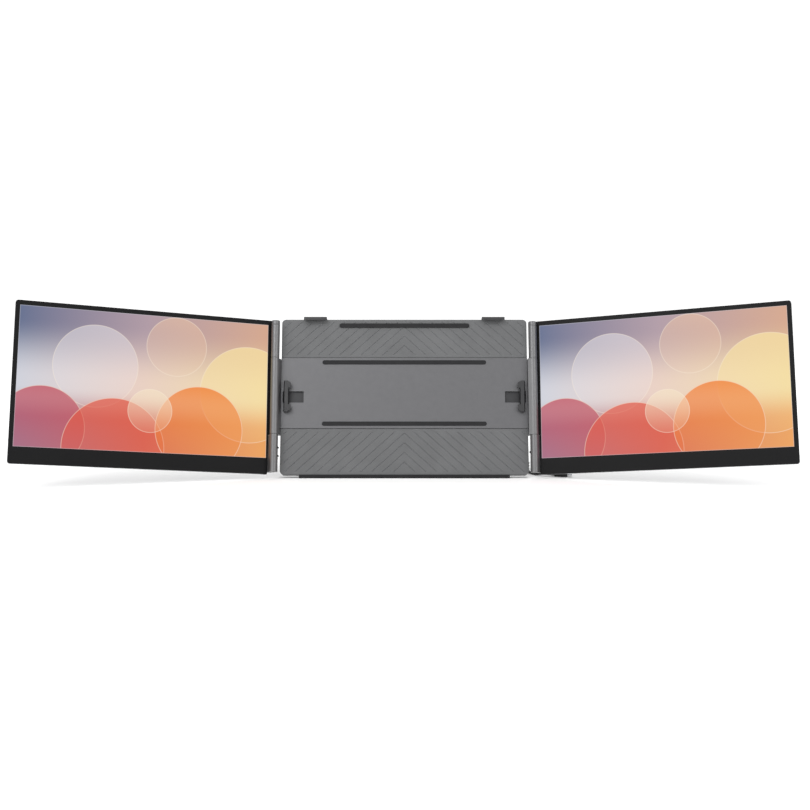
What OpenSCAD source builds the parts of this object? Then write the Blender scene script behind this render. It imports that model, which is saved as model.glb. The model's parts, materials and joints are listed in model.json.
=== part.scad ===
// Laptop screen extender: two side screens hinged on a centre frame that clips to the back of a laptop lid.
// X runs along the row of screens, Y to the back, Z up. The table is the plane Z = 0.
// Frame pieces are drawn upright, front face at Y = 0, and then leaned back about the lower front edge.
// Screen pieces are drawn as the right-hand screen, from the hinge axis outwards, and mirrored for the left.

/* [Posture] */
// Angle that the frame leans back from upright, degrees
lean = 15.4; // [8:0.1:18]
// Angle that each screen is turned in towards the user, degrees
toe_in = 20.2; // [0:0.1:60]
// Height of the frame's lower front edge above the table
foot_lift = 5; // [4.6:0.1:8]

/* [Screens] */
// Width of the lit area of a side screen
active_w = 344.2; // [300:0.1:346]
// Height of the lit area of a side screen
active_h = 193.6; // [180:0.1:196]
// Black border at the outer edge
bezel_side = 6.1; // [4:0.1:8]
// Black border above the lit area
bezel_top = 6.5; // [4:0.1:8]
// Height of the chin below the lit area
chin_h = 23.1; // [20:0.1:26]
// Thickness of a screen housing
screen_t = 8; // [7.6:0.1:9]
// Thickness of the bezel frame
bezel_t = 2; // [1.8:0.1:2.4]
// Thickness of the bezel's lip in front of the glass
lip_t = 0.7; // [0.5:0.05:0.9]
// How far the glass reaches under the lip
glass_margin = 1.6; // [1:0.1:2.2]
// Thickness of the backlight behind the glass
backlight_t = 2.6; // [2:0.1:3]
// Wall of a screen's back cover
cover_wall = 1.2; // [0.8:0.1:1.6]
// Radius of a housing's outer corners
housing_r = 4; // [3:0.1:6]
// Radius of a housing's back edges
cover_edge_r = 2.4; // [1.5:0.1:3]

/* [Hinges] */
// Distance from the edge of the laptop lid to a hinge axis
lid_to_axis = 19.7; // [19:0.1:22]
// Radius of the hinge knuckles
knuckle_r = 6; // [5.4:0.1:6.4]
// Radius of the hinge shafts
shaft_r = 2.5; // [2:0.1:2.8]
// Wall of the shaft bushes
bush_wall = 1.4; // [1:0.1:1.6]
// Length of a shaft bush
bush_len = 13; // [8:0.5:14]
// Running clearance of shafts and pins
run_gap = 0.05; // [0.03:0.01:0.08]
// Gap between neighbouring knuckles
knuckle_gap = 0.4; // [0.3:0.05:0.8]
// Height at which the lower knuckle starts
knuckle_low = 2.6; // [1:0.1:4]
// Height at which the frame's middle knuckle starts
mid_low = 56.6; // [54:0.1:60]
// Height at which the frame's middle knuckle ends
mid_high = 167; // [165:0.1:172]
// How far the upper knuckle's barrel ends below the top of the frame
knuckle_drop = 11.6; // [9:0.1:14]
// Height of the caps on the upper knuckles
cap_h = 7.4; // [6:0.1:8]
// Distance from the hinge axis to the lit area
axis_to_active = 8.8; // [8.6:0.1:12]
// Distance from the hinge axis to the side of the housing
axis_to_housing = 6.8; // [6.7:0.05:7]
// Depth of the right screen's face behind its hinge axis
right_setback = 6; // [5.5:0.1:7]
// Depth of the left screen's face behind its hinge axis
left_setback = 8.5; // [8:0.1:9.5]
// Gap between the two screens when both are folded
fold_gap = 1; // [0.8:0.1:2]

/* [Frame] */
// Height of the centre frame
frame_h = 226.4; // [224.4:0.1:228]
// Depth of the centre frame
frame_d = 15; // [14.6:0.1:15.8]
// Radius of the frame's outer corners
frame_r = 6; // [4:0.1:8]
// Radius of the back shell's back edges
shell_edge_r = 3; // [2:0.1:4]
// Gap between a hinge barrel and the side of the frame
side_gap = 1.9; // [1.8:0.05:2.4]
// Thickness of the grip panels
skin_t = 1.6; // [1.2:0.1:1.8]
// Thickness of the chassis plate
plate_t = 1.5; // [1.2:0.1:2]
// Wall of the back shell
shell_wall = 2; // [1.6:0.1:2.2]
// Height at which the smooth middle band starts
band_low = 66.3; // [62:0.1:70]
// Height at which the smooth middle band ends
band_high = 169.9; // [166:0.1:174]
// How far the middle band stands in front of the grip panels
band_rise = 1; // [0.6:0.1:1.4]
// Seam between the band and the grip panels
seam = 0.4; // [0.2:0.1:0.8]

/* [Grip pattern] */
// Upright distance between neighbouring grooves
groove_pitch = 14; // [10:0.5:24]
// Slope of the grooves, degrees
groove_slope = 42; // [30:1:50]
// Depth of the main grooves
groove_depth = 0.6; // [0.3:0.05:0.8]
// Plain rim round the grooved field
rim_w = 4; // [3:0.1:6]

/* [Side clips] */
// Distance from the frame's middle to the edge of the laptop lid that the clips hold
lid_half = 165.5; // [160:0.1:166]
// Height of the middle of the side clips
clip_z = 112.2; // [108:0.1:116]
// Height of a side clip
hook_h = 45; // [40:0.5:48]
// Thickness of a hook's upright wall
hook_wall = 6.5; // [5:0.1:7]
// Gap between the claws and the band, which takes the lid
jaw_gap = 7; // [6:0.1:8]
// Thickness of the claws
claw_t = 2; // [1.5:0.1:2.5]
// How far the claws reach over the lid
claw_reach = 3; // [2.5:0.1:4]
// Height of one claw
claw_h = 9; // [7:0.1:11]
// Distance from the end of a hook to its claw
claw_inset = 1.4; // [0.8:0.1:6]
// Height of the tongue that joins a hook to its carriage
tongue_h = 16; // [12:0.5:18]
// Travel of a side clip towards the middle
clip_in = 22; // [15:0.5:26]
// Travel of a side clip away from the middle
clip_out = 3; // [2:0.1:3.4]
// Length of the carriage inside the frame
carriage_len = 40; // [34:0.5:42]
// Sliding clearance of the clips
slide_gap = 0.25; // [0.15:0.05:0.4]
// Thickness of the rubber pads in the clips
clip_pad_t = 0.8; // [0.5:0.1:1]

/* [Top clips] */
// Distance from the side edge of the laptop lid to the middle of a top clip
top_clip_inset = 36.8; // [30:0.1:46]
// Width of a top clip
top_clip_w = 33; // [28:0.5:36]
// Thickness of a top clip's sheet
top_clip_t = 2; // [1.5:0.1:2.4]
// How far the lip hangs over the front of the lid
lip_drop = 3; // [2:0.1:5]
// Travel of a top clip
top_clip_travel = 25; // [15:0.5:26]
// Length of stem that stays in the guide when the clip is fully raised
stem_grip = 9; // [7:0.5:12]

/* [Kickstand] */
// Width of the kickstand leg
kick_w = 196; // [160:1:200]
// Thickness of the kickstand leg
kick_t = 2.6; // [2:0.1:2.8]
// Height of the kickstand's pivot on the frame
kick_pivot_z = 162; // [158:0.1:163]
// Angle between the open kickstand and the frame, degrees
kick_open = 26; // [22:0.1:27]
// Radius of the kickstand's barrel
kick_barrel_r = 2.4; // [2.2:0.1:2.5]
// Radius of the kickstand's pins
pin_r = 1.25; // [1:0.05:1.4]
// Radius of the rubber foot's tip
kick_foot_r = 2; // [1.7:0.1:2.2]

/* [Buttons] */
// Radius of the control buttons
button_r = 1.4; // [1.1:0.1:1.8]
// How far a button stands out of its barrel
button_proud = 1.3; // [1:0.05:1.4]
// Height of the left screen's upper button
left_button_a = 37; // [34:0.1:41]
// Height of the left screen's lower button
left_button_b = 25.2; // [22:0.1:30]
// Height of the right screen's button
right_button = 31.6; // [14:0.1:40]

/* [Cable and sockets] */
// Distance from the frame's middle to the video socket with the cable
socket_x = 116; // [112:0.5:120]
// Distance between the two sockets
socket_step = 24; // [18:0.5:30]
// Height of the sockets on the frame
socket_z = 24; // [20:0.5:30]
// Diameter of the cable
cable_d = 4; // [3.6:0.1:4.4]
// Radius of the middle of the cable coil
coil_r = 24; // [22:0.5:26]
// Width of the wound bundle
bundle_w = 8.4; // [8:0.1:9]
// Height of the wound bundle
bundle_h = 12.2; // [12:0.1:13]

/* [Hidden] */

$fn = 48;
tiny = 0.01;
over = 1;

// Colours of the materials
grey_metal = "#76777a";
grey_plastic = "#6c6d70";
dark_grey = "#4b4c50";
black_plastic = "#1d1d20";
rubber_black = "#17171a";
steel = "#b4b7bb";
glass_tint = "#c98f7a";
board_green = "#24573a";

// Frame
housing_h = chin_h + active_h + bezel_top;
hinge_span = 2 * (lid_half + lid_to_axis);
hinge_x = hinge_span / 2;
frame_half = hinge_x - knuckle_r - side_gap;
plate_y = skin_t;
shell_y = skin_t + plate_t;
plate_inset = 0.6;
post_r = 3.4;
screw_r = 1.1;
screw_head_r = 2.2;
frame_screw_xs = [-frame_half + 14, frame_half - 14];
frame_screw_zs = [8, band_high + 7.3, frame_h - 9];
vent_step = 8;
vent_half = 4;
vent_z = frame_h - 34;
notch_r = 11;
back_grip_z0 = socket_z + 16;
back_grip_z1 = band_high - 6;

// Folded stack, measured forwards from the grip panels
clip_front = band_rise + jaw_gap + claw_t;
clip_clear = 2;
right_axis = clip_front + clip_clear - right_setback;
left_axis = right_axis + right_setback + screen_t + fold_gap - left_setback;

// Screens
housing_end = axis_to_active + active_w + bezel_side;
knuckle_high = frame_h - knuckle_drop;
spine_w = 3;
bezel_in = knuckle_r * 0.65;
cover_start = axis_to_housing + spine_w;
fit_gap = 0.02;
glass_side = min(glass_margin, axis_to_active - axis_to_housing - 1);
cover_screw_z = 6;
cover_screw_xs = [cover_start + 12, housing_end / 2, housing_end - 12];
cover_screw_zs = [cover_screw_z, housing_h - cover_screw_z];
cover_post_r = 2.6;
cover_screw_len = screen_t - bezel_t;
chin_screw_len = cover_screw_len + 0.6;
chin_floor = 1.2;
cover_seam_z = 2 * chin_h;
seam_cut = 0.4;
chin_hollow_z0 = 3;
chin_hollow_z1 = chin_h - glass_margin - 2;
low_knuckle_end = mid_low - knuckle_gap;
high_knuckle_start = mid_high + knuckle_gap;
bush_r = shaft_r + run_gap + bush_wall;
shaft_clear_r = shaft_r + 0.4;
blind_t = 3;
cap_spigot = 4;
cap_round = 1.6;
cap_ring_z = 1.8;
ring_cut = 0.35;
dome_r = 30;
washer_count = 6;
washer_t = 0.8;
washer_step = washer_t + 0.1;
washer_pocket = washer_count * washer_step + 0.4;
bumper_r = 1.8;

// Hinge blocks
block_x = frame_half + 0.2;
ear_t = 2.5;
ear_y = shell_y + ear_t;
ear_len = 26;
ear_h = 28;
ear_zs = [mid_low + 4, mid_high - 4 - ear_h];
ear_screw_x = block_x - ear_len + 6;
ear_screw_inset = 7;
ear_screw_r = 1.5;
slab_rise = 5;

// Side clips
hook_x0 = lid_half + clip_pad_t;
hook_x1 = hook_x0 + hook_wall;
hook_z0 = clip_z - hook_h / 2;
hook_z1 = clip_z + hook_h / 2;
hook_y = -band_rise - slide_gap;
claw_cut = 2;
tongue_x0 = hook_x0 + 0.6;
tongue_x1 = hook_x1 - 1.4;
carriage_h = 28;
carriage_t = 5;
carriage_y = shell_y + slide_gap;
rail_w = 5;
rail_lip = 3;
rail_t = 1.2;
rail_y = carriage_y + carriage_t + slide_gap;
rail_z = carriage_h / 2 + slide_gap;
rail_x0 = tongue_x1 - carriage_len - clip_in - 2;
rail_x1 = tongue_x1 + clip_out;

// Top clips
top_clip_x = lid_half - top_clip_inset;
stem_y = shell_y + slide_gap;
bridge_z = frame_h + 0.3;
stem_z0 = bridge_z - stem_grip - top_clip_travel;
guide_t = 1.5;
guide_z0 = stem_z0 - 8;

// Lid pads and foot
pad_rise = 0.8;
pad_h = 6;
pad_half = 118;
pad_inset = 7;
top_pad_half = 94;
top_pad_z = frame_h - 9;
foot_half = 150;
foot_y0 = -2;
foot_y1 = (frame_d - 1) * cos(lean);

// Kickstand
kick_gap = 0.2;
recess_half = kick_w / 2 + 1;
recess_y = frame_d - kick_t - 2 * kick_gap;
kick_y = recess_y + kick_gap;
pivot_y = frame_d - kick_barrel_r - 0.1;
pocket_y = pivot_y - kick_barrel_r - 0.3;
pocket_z0 = kick_pivot_z - 5;
pocket_z1 = kick_pivot_z + 6.4;
bracket_w = 7;
bracket_half_h = 4;
pin_hold = 9.6;
heel_len = 4.9;
leg_top = 0.6;
leg_rim = 9;
leg_field_d = 0.5;
grip_half = 34;
grip_z0 = 14;
grip_z1 = 30;
swing = kick_open - lean;
pivot_world_z = foot_lift - pivot_y * sin(lean) + kick_pivot_z * cos(lean);
foot_y = kick_y + kick_foot_r;
kick_len = (pivot_world_z + (foot_y - pivot_y) * sin(swing) - kick_foot_r) / cos(swing);

// Sockets and plugs
socket_w = 8.94;
socket_t = 3.16;
socket_len = 7.4;
tongue_w = 8.25;
tongue_t = 2.4;
tongue_len = 6.2;
mouth_w = tongue_w + 0.1;
mouth_t = tongue_t + 0.16;
plug_w = 11.6;
plug_t = 6.4;
plug_len = 18;
relief_len = 9;
relief_r = 2.9;
socket_xs = [socket_x, socket_x + socket_step];
board_t = 1.6;
board_z0 = 10;
board_z1 = socket_z + 28;
chip_t = 0.9;

// Cable
cable_r = cable_d / 2;
coil_x = 158;
coil_y = 84;
coil_out = coil_r + bundle_w / 2;
tie_w = 7;
tie_squeeze = 0.7;
tie_t = 0.5;
plug_mouth_y = frame_d + 0.2;
far_plug_x = 233.9;
far_plug_y = 15.3;
far_plug_turn = -12;
lead_route = [
  [116, 47.1, 16.9], [116, 54.3, 14.9], [116.6, 61.5, 11.8],
  [118.5, 68.5, 8.6], [121.5, 75, 6.2], [124.9, 81.2, 4.9], [128.1, 87.5, 4.4]
];
tail_route = [
  [181.7, 66, 2], [181.9, 58, 2], [182.2, 50, 2], [183.2, 42.4, 2], [185.8, 35.2, 2],
  [190, 28.8, 2.2], [195.4, 24.6, 2.7], [201, 22.3, 3.2], [207.4, 20.9, 3.2]
];

// ---------- places ----------

module leaned() translate([0, 0, foot_lift]) rotate([-lean, 0, 0]) children();

module right_screen() leaned() translate([hinge_x, -right_axis, 0]) rotate([0, 0, -toe_in]) children();

module left_screen()
  leaned() translate([-hinge_x, -left_axis, 0]) mirror([1, 0, 0]) rotate([0, 0, -toe_in]) children();

module both_sides() {
  children();
  mirror([1, 0, 0]) children();
}

module kick_folded() translate([0, pivot_y, kick_pivot_z]) children();

module kick_opened() leaned() kick_folded() rotate([kick_open, 0, 0]) children();

// ---------- shapes ----------

module rounded_2d(x0, y0, x1, y1, r) {
  translate([x0 + r, y0]) square([x1 - x0 - 2 * r, y1 - y0]);
  translate([x0, y0 + r]) square([x1 - x0, y1 - y0 - 2 * r]);
  for (x = [x0 + r, x1 - r], y = [y0 + r, y1 - r]) translate([x, y]) circle(r);
}

// Rectangle whose two corners on the far side of its second axis are rounded
module back_rounded_2d(x0, y0, x1, y1, r) {
  translate([x0, y0]) square([x1 - x0, y1 - y0 - r]);
  translate([x0 + r, y0]) square([x1 - x0 - 2 * r, y1 - y0]);
  for (x = [x0 + r, x1 - r]) translate([x, y1 - r]) circle(r);
}

module from_front(y0, y1) translate([0, y1, 0]) rotate([90, 0, 0]) linear_extrude(y1 - y0) children();

module from_side(x0, x1) translate([x0, 0, 0]) rotate([90, 0, 90]) linear_extrude(x1 - x0) children();

module from_top(z0, z1) translate([0, 0, z0]) linear_extrude(z1 - z0) children();

module block(x0, y0, z0, x1, y1, z1) translate([x0, y0, z0]) cube([x1 - x0, y1 - y0, z1 - z0]);

module bar_y(x, z, r, y0, y1) translate([x, y1, z]) rotate([90, 0, 0]) cylinder(r = r, h = y1 - y0);

module bar_x(y, z, r, x0, x1) translate([x0, y, z]) rotate([0, 90, 0]) cylinder(r = r, h = x1 - x0);

// Screw with a flush head and a cross recess, its head in the plane Y = y
module back_screw(x, z, y, len) difference() {
  translate([x, y, z]) rotate([90, 0, 0]) union() {
    cylinder(r = screw_head_r, h = 1);
    cylinder(r = screw_r, h = len);
  }
  for (turn = [0, 90]) translate([x, y, z]) rotate([0, turn, 0]) cube([2.4, 1, 0.5], center = true);
}

module back_screw_hole(x, z, y, len) {
  bar_y(x, z, screw_head_r + 0.1, y - 1, y + over);
  bar_y(x, z, screw_r + 0.05, y - len, y + over);
}

// ---------- centre frame ----------

module frame_outline(inset = 0)
  rounded_2d(-frame_half + inset, inset, frame_half - inset, frame_h - inset, frame_r - inset);

module at_frame_screws() for (x = frame_screw_xs, z = frame_screw_zs) translate([x, 0, z]) children();

module at_ear_screws() for (z = ear_zs, dz = [ear_screw_inset, ear_h - ear_screw_inset])
  translate([ear_screw_x, 0, z + dz]) children();

module shell_form() intersection() {
  from_front(shell_y, frame_d) frame_outline();
  from_top(-over, frame_h + over) back_rounded_2d(-frame_half, 0, frame_half, frame_d, shell_edge_r);
  from_side(-frame_half - over, frame_half + over)
    mirror([1, -1]) back_rounded_2d(0, 0, frame_h, frame_d, shell_edge_r);
}

module shell_cavity() {
  from_front(shell_y - over, recess_y - shell_wall) frame_outline(shell_wall);
  intersection() {
    from_front(shell_y - over, frame_d - shell_wall) frame_outline(shell_wall + 0.6);
    union() {
      both_sides() block(recess_half + shell_wall, 0, 0, frame_half, frame_d, frame_h);
      block(-frame_half, 0, pocket_z1 + shell_wall, frame_half, frame_d, frame_h);
    }
  }
}

module vent_rows() for (i = [0 : 11], row = [0, 1])
  translate([(i - 5.5) * vent_step, 0, vent_z + row * 3 * vent_half])
    from_front(frame_d - shell_wall - over, frame_d + over) rounded_2d(-1, -vent_half, 1, vent_half, 0.9);

module back_shell() color(grey_plastic) leaned() difference() {
  union() {
    difference() {
      shell_form();
      shell_cavity();
    }
    // Bulkhead that carries the kickstand's pivot
    block(-recess_half - bracket_w - 2, pocket_y - shell_wall, pocket_z0 - shell_wall,
      recess_half + bracket_w + 2, recess_y, pocket_z1 + shell_wall);
    // Screw posts
    intersection() {
      shell_form();
      at_frame_screws() bar_y(0, 0, post_r, shell_y, frame_d);
    }
  }
  // Recess for the folded leg, and its deeper pocket at the pivot
  block(-recess_half, recess_y, -over, recess_half, frame_d + over, pocket_z1);
  block(-recess_half - bracket_w, pocket_y, pocket_z0, recess_half + bracket_w, frame_d + over, pocket_z1);
  // Finger notch below the leg
  bar_y(0, 0, notch_r, recess_y - 1.2, frame_d + over);
  // Side notches for the ears of the hinge blocks
  both_sides() for (z = ear_zs)
    block(frame_half - shell_wall - 2, shell_y - over, z - 0.2,
      frame_half + over, ear_y + 0.2, z + ear_h + 0.2);
  // Slots in the top edge for the stems of the top clips
  both_sides() block(top_clip_x - top_clip_w / 2 - slide_gap, shell_y - over, frame_h - shell_wall - over,
    top_clip_x + top_clip_w / 2 + slide_gap, stem_y + top_clip_t + slide_gap, frame_h + over);
  // Mouths of the two sockets
  for (x = socket_xs) from_front(frame_d - shell_wall - over, frame_d + over)
    rounded_2d(x - socket_w / 2 - 0.1, socket_z - socket_t / 2 - 0.1,
      x + socket_w / 2 + 0.1, socket_z + socket_t / 2 + 0.1, socket_t / 2);
  vent_rows();
  at_frame_screws() back_screw_hole(0, 0, frame_d, frame_d);
  translate([0, frame_d, 0])
    grooves(recess_half + bracket_w + rim_w, frame_half - shell_edge_r - rim_w, back_grip_z0, back_grip_z1);
}

module tongue_slot(y0, y1) both_sides() from_front(y0, y1)
  rounded_2d(tongue_x0 - clip_in - slide_gap, clip_z - tongue_h / 2 - slide_gap,
    tongue_x1 + clip_out + slide_gap, clip_z + tongue_h / 2 + slide_gap, 0.6);

module chassis_plate() color(steel) leaned() difference() {
  from_front(plate_y, shell_y) frame_outline(plate_inset);
  tongue_slot(plate_y - over, shell_y + over);
  at_frame_screws() bar_y(0, 0, screw_r + 0.05, plate_y - over, shell_y + over);
  both_sides() at_ear_screws() bar_y(0, 0, ear_screw_r + 0.05, plate_y - over, shell_y + over);
}

// Sloping grooves on both sides, from x0 to x1 and z0 to z1
module grooves(x0, x1, z0, z1) {
  run = (x1 - x0) * tan(groove_slope);
  side = groove_depth * sqrt(2);
  count = ceil((z1 - z0 + run) / groove_pitch);
  both_sides() intersection() {
    block(x0, -over, z0, x1, over, z1);
    for (i = [0 : count])
      translate([(x0 + x1) / 2, 0, z0 - run / 2 + groove_pitch * i])
        rotate([0, groove_slope, 0]) rotate([45, 0, 0])
          cube([(x1 - x0) / cos(groove_slope) + groove_pitch, side, side], center = true);
  }
}

module grip_panel(z0, z1) difference() {
  from_front(0, skin_t) intersection() {
    frame_outline();
    translate([-frame_half, z0]) square([2 * frame_half, z1 - z0]);
  }
  // The grooves of the two sides meet in the middle
  grooves(0, frame_half - rim_w, z0 + rim_w, z1 - rim_w);
}

module upper_grip_panel() color(grey_plastic) leaned() grip_panel(band_high + seam, frame_h);

module lower_grip_panel() color(grey_plastic) leaned() grip_panel(0, band_low - seam);

module middle_band() color(grey_metal) leaned() difference() {
  from_side(-frame_half, frame_half) polygon([
    [skin_t, band_low], [-band_rise + 0.6, band_low], [-band_rise, band_low + 0.6],
    [-band_rise, band_high - 0.6], [-band_rise + 0.6, band_high], [skin_t, band_high]
  ]);
  tongue_slot(-band_rise - over, skin_t + over);
}

// ---------- hinges on the frame ----------

// Middle knuckle with its web and the two ears that are screwed behind the chassis plate
module hinge_block(axis_n, web) difference() {
  union() {
    from_top(mid_low, mid_high) {
      translate([hinge_x, -axis_n]) circle(knuckle_r);
      polygon(web);
    }
    for (z = ear_zs) block(block_x - ear_len, shell_y, z, block_x + 1, ear_y, z + ear_h);
  }
  translate([hinge_x, -axis_n, 0]) {
    from_top(mid_low - over, mid_high + over) circle(shaft_r + fit_gap);
    from_top(mid_high - washer_pocket, mid_high + over) circle(bush_r + 0.1);
  }
  at_ear_screws() bar_y(0, 0, ear_screw_r + 0.1, shell_y - over, ear_y + over);
}

module right_hinge_block() color(grey_metal) leaned() hinge_block(right_axis, [
  [block_x, -right_axis - slab_rise], [hinge_x, -right_axis - slab_rise], [hinge_x + 3, -right_axis],
  [hinge_x, ear_y], [block_x, ear_y]
]);

module left_hinge_block() color(grey_metal) leaned() mirror([1, 0, 0]) hinge_block(left_axis, [
  [block_x, -band_rise - 3], [hinge_x - knuckle_r * 0.8, -left_axis + knuckle_r * 0.5], [hinge_x, -left_axis],
  [hinge_x + knuckle_r * 0.7, -left_axis + knuckle_r * 0.4], [hinge_x - 1, ear_y], [block_x, ear_y]
]);

module hinge_shaft(axis_n) translate([hinge_x, -axis_n, 0])
  from_top(knuckle_low + blind_t + 0.3, knuckle_high - cap_spigot - 0.3) circle(shaft_r);

module right_hinge_shaft() color(steel) leaned() hinge_shaft(right_axis);

module left_hinge_shaft() color(steel) leaned() mirror([1, 0, 0]) hinge_shaft(left_axis);

module washer_stack(axis_n) for (i = [0 : washer_count - 1])
  translate([hinge_x, -axis_n, mid_high - washer_pocket + 0.1 + i * washer_step]) difference() {
    cylinder(r = bush_r, h = washer_t);
    translate([0, 0, -over]) cylinder(r = shaft_r + 0.1, h = washer_t + 2 * over);
  }

module friction_washers() color(steel) leaned() {
  washer_stack(right_axis);
  mirror([1, 0, 0]) washer_stack(left_axis);
}

// ---------- clips ----------

// Upper and lower rails with a lip behind the carriage
module side_clip_guides() color(dark_grey) leaned() both_sides() translate([0, 0, clip_z])
  for (side = [0, 1]) mirror([0, 0, side]) {
    block(rail_x0, shell_y, rail_z, rail_x1, rail_y + rail_t, rail_z + rail_w);
    block(rail_x0, rail_y, carriage_h / 2 - rail_lip, rail_x1, rail_y + rail_t, rail_z + rail_w);
  }

module top_clip_guides() color(dark_grey) leaned() both_sides() translate([top_clip_x, 0, 0]) difference() {
  half = top_clip_w / 2 + slide_gap;
  back = stem_y + top_clip_t + slide_gap;
  block(-half - guide_t, shell_y, guide_z0, half + guide_t, back + guide_t, frame_h - shell_wall - guide_t);
  block(-half, shell_y - over, guide_z0 - over, half, back, frame_h);
}

// Hook with two claws over the lid's edge, each chamfered at the hook's end
module clip_hook() difference() {
  union() {
    from_top(hook_z0, hook_z1) polygon([
      [hook_x0, hook_y], [hook_x0, -clip_front], [hook_x1 - 1.6, -clip_front], [hook_x1, -clip_front + 1.6],
      [hook_x1, hook_y]
    ]);
    for (z = [hook_z0 + claw_inset, hook_z1 - claw_inset - claw_h]) from_top(z, z + claw_h) polygon([
      [hook_x0 + tiny, -clip_front + claw_t], [lid_half - claw_reach + 0.6, -clip_front + claw_t],
      [lid_half - claw_reach, -clip_front + claw_t - 0.6], [lid_half - claw_reach, -clip_front + 0.7],
      [lid_half - claw_reach + 0.7, -clip_front], [hook_x0 + tiny, -clip_front]
    ]);
    block(tongue_x0, hook_y - over, clip_z - tongue_h / 2, tongue_x1, carriage_y, clip_z + tongue_h / 2);
  }
  for (end = [-1, 1])
    translate([lid_half - claw_reach, -clip_front, clip_z + end * (hook_h / 2 - claw_inset)])
      rotate([0, 45, 0]) cube([claw_cut * sqrt(2), 3 * claw_t, claw_cut * sqrt(2)], center = true);
}

module clip_pad() block(lid_half, -band_rise - jaw_gap + 0.4, hook_z0 + claw_inset + claw_h + 0.6,
  hook_x0, hook_y - 0.3, hook_z1 - claw_inset - claw_h - 0.6);

module clip_carriage() translate([tongue_x1 - carriage_len, 0, clip_z]) difference() {
  from_front(carriage_y, carriage_y + carriage_t)
    rounded_2d(0, -carriage_h / 2, carriage_len, carriage_h / 2, 2);
  // Weight-saving pockets between the ribs
  for (x = [4, 13, 22])
    block(x, carriage_y + 1.5, 6 - carriage_h / 2, x + 7, carriage_y + carriage_t + over, carriage_h / 2 - 6);
}

module right_clip_hook() color(dark_grey) leaned() clip_hook();
module right_clip_pad() color(rubber_black) leaned() clip_pad();
module right_clip_carriage() color(black_plastic) leaned() clip_carriage();
module left_clip_hook() color(dark_grey) leaned() mirror([1, 0, 0]) clip_hook();
module left_clip_pad() color(rubber_black) leaned() mirror([1, 0, 0]) clip_pad();
module left_clip_carriage() color(black_plastic) leaned() mirror([1, 0, 0]) clip_carriage();

// Bent sheet: stem inside the frame, bridge over its top edge and a lip in front of the lid
module top_clip() {
  outer_r = top_clip_t;
  intersection() {
    from_side(top_clip_x - top_clip_w / 2, top_clip_x + top_clip_w / 2) union() {
      translate([stem_y, stem_z0]) square([top_clip_t, bridge_z - stem_z0]);
      translate([-clip_front + outer_r, bridge_z]) square([stem_y + clip_front - outer_r, top_clip_t]);
      translate([-clip_front, bridge_z - lip_drop]) square([top_clip_t, lip_drop]);
      intersection() {
        translate([stem_y, bridge_z]) circle(outer_r);
        translate([stem_y, bridge_z]) square(outer_r);
      }
      intersection() {
        translate([-clip_front + outer_r, bridge_z]) circle(outer_r);
        translate([-clip_front, bridge_z]) square(outer_r);
      }
    }
    // Rounded corners seen from above and from the front
    from_top(stem_z0 - over, bridge_z + 2 * top_clip_t) mirror([0, 1]) translate([0, -stem_y - top_clip_t])
      back_rounded_2d(top_clip_x - top_clip_w / 2, 0, top_clip_x + top_clip_w / 2,
        stem_y + top_clip_t + clip_front, 2.5);
  }
}

module top_pad() block(top_clip_x - top_clip_w / 2 + 3, -clip_front + top_clip_t + 0.2, bridge_z - clip_pad_t,
  top_clip_x + top_clip_w / 2 - 3, -band_rise - 0.6, bridge_z);

module right_top_clip() color(dark_grey) leaned() top_clip();
module right_top_pad() color(rubber_black) leaned() top_pad();
module left_top_clip() color(dark_grey) leaned() mirror([1, 0, 0]) top_clip();
module left_top_pad() color(rubber_black) leaned() mirror([1, 0, 0]) top_pad();

// ---------- pads, foot, kickstand ----------

module pad_strip(half, z) rounded_2d(-half, z - pad_h / 2, half, z + pad_h / 2, pad_h / 2 - 0.1);

module lid_pads() color(rubber_black) leaned() {
  from_front(-band_rise - pad_rise, -band_rise) {
    pad_strip(pad_half, band_low + pad_inset);
    pad_strip(pad_half, band_high - pad_inset);
  }
  from_front(-band_rise - pad_rise, 0) pad_strip(top_pad_half, top_pad_z);
}

module foot_strip() color(rubber_black) from_side(-foot_half, foot_half) polygon([
  [foot_y0, 0], [foot_y1, 0], [foot_y1, foot_lift - foot_y1 * tan(lean)],
  [foot_y0, foot_lift - foot_y0 * tan(lean)]
]);

module kickstand_brackets() color(steel) leaned() both_sides() difference() {
  from_side(recess_half - 0.5, recess_half + bracket_w - 0.3) union() {
    translate([pivot_y, kick_pivot_z]) circle(kick_barrel_r);
    translate([pocket_y, kick_pivot_z - bracket_half_h]) square([pivot_y - pocket_y, 2 * bracket_half_h]);
  }
  bar_x(pivot_y, kick_pivot_z, pin_r + run_gap, recess_half - over, recess_half + bracket_w);
}

module kickstand_leg() color(dark_grey) kick_opened() difference() {
  union() {
    bar_x(0, 0, kick_barrel_r, -kick_w / 2, kick_w / 2);
    translate([0, kick_y - pivot_y, 0]) from_front(0, kick_t)
      rounded_2d(-kick_w / 2, -kick_len + kick_foot_r, kick_w / 2, leg_top, 2);
    // Heel that stops the leg against the frame when it is open
    translate([0, kick_y - pivot_y, 0])
      block(-kick_w / 2 + 20, 0, -1, kick_w / 2 - 20, kick_t - 0.8, heel_len);
  }
  // Blind holes for the pins
  both_sides() bar_x(0, 0, pin_r + fit_gap, kick_w / 2 - pin_hold - 0.4, kick_w / 2 + over);
  // Shallow field inside the leg's rim
  translate([0, kick_y - pivot_y + kick_t, 0]) from_front(-leg_field_d, over)
    rounded_2d(-kick_w / 2 + leg_rim, grip_z1 + leg_rim - kick_len, kick_w / 2 - leg_rim,
      -kick_barrel_r - leg_rim, 4);
  // Grip window near the foot
  from_front(-2 * kick_t, 2 * kick_t)
    rounded_2d(-grip_half, grip_z0 - kick_len, grip_half, grip_z1 - kick_len, (grip_z1 - grip_z0) / 2 - 0.1);
}

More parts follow.
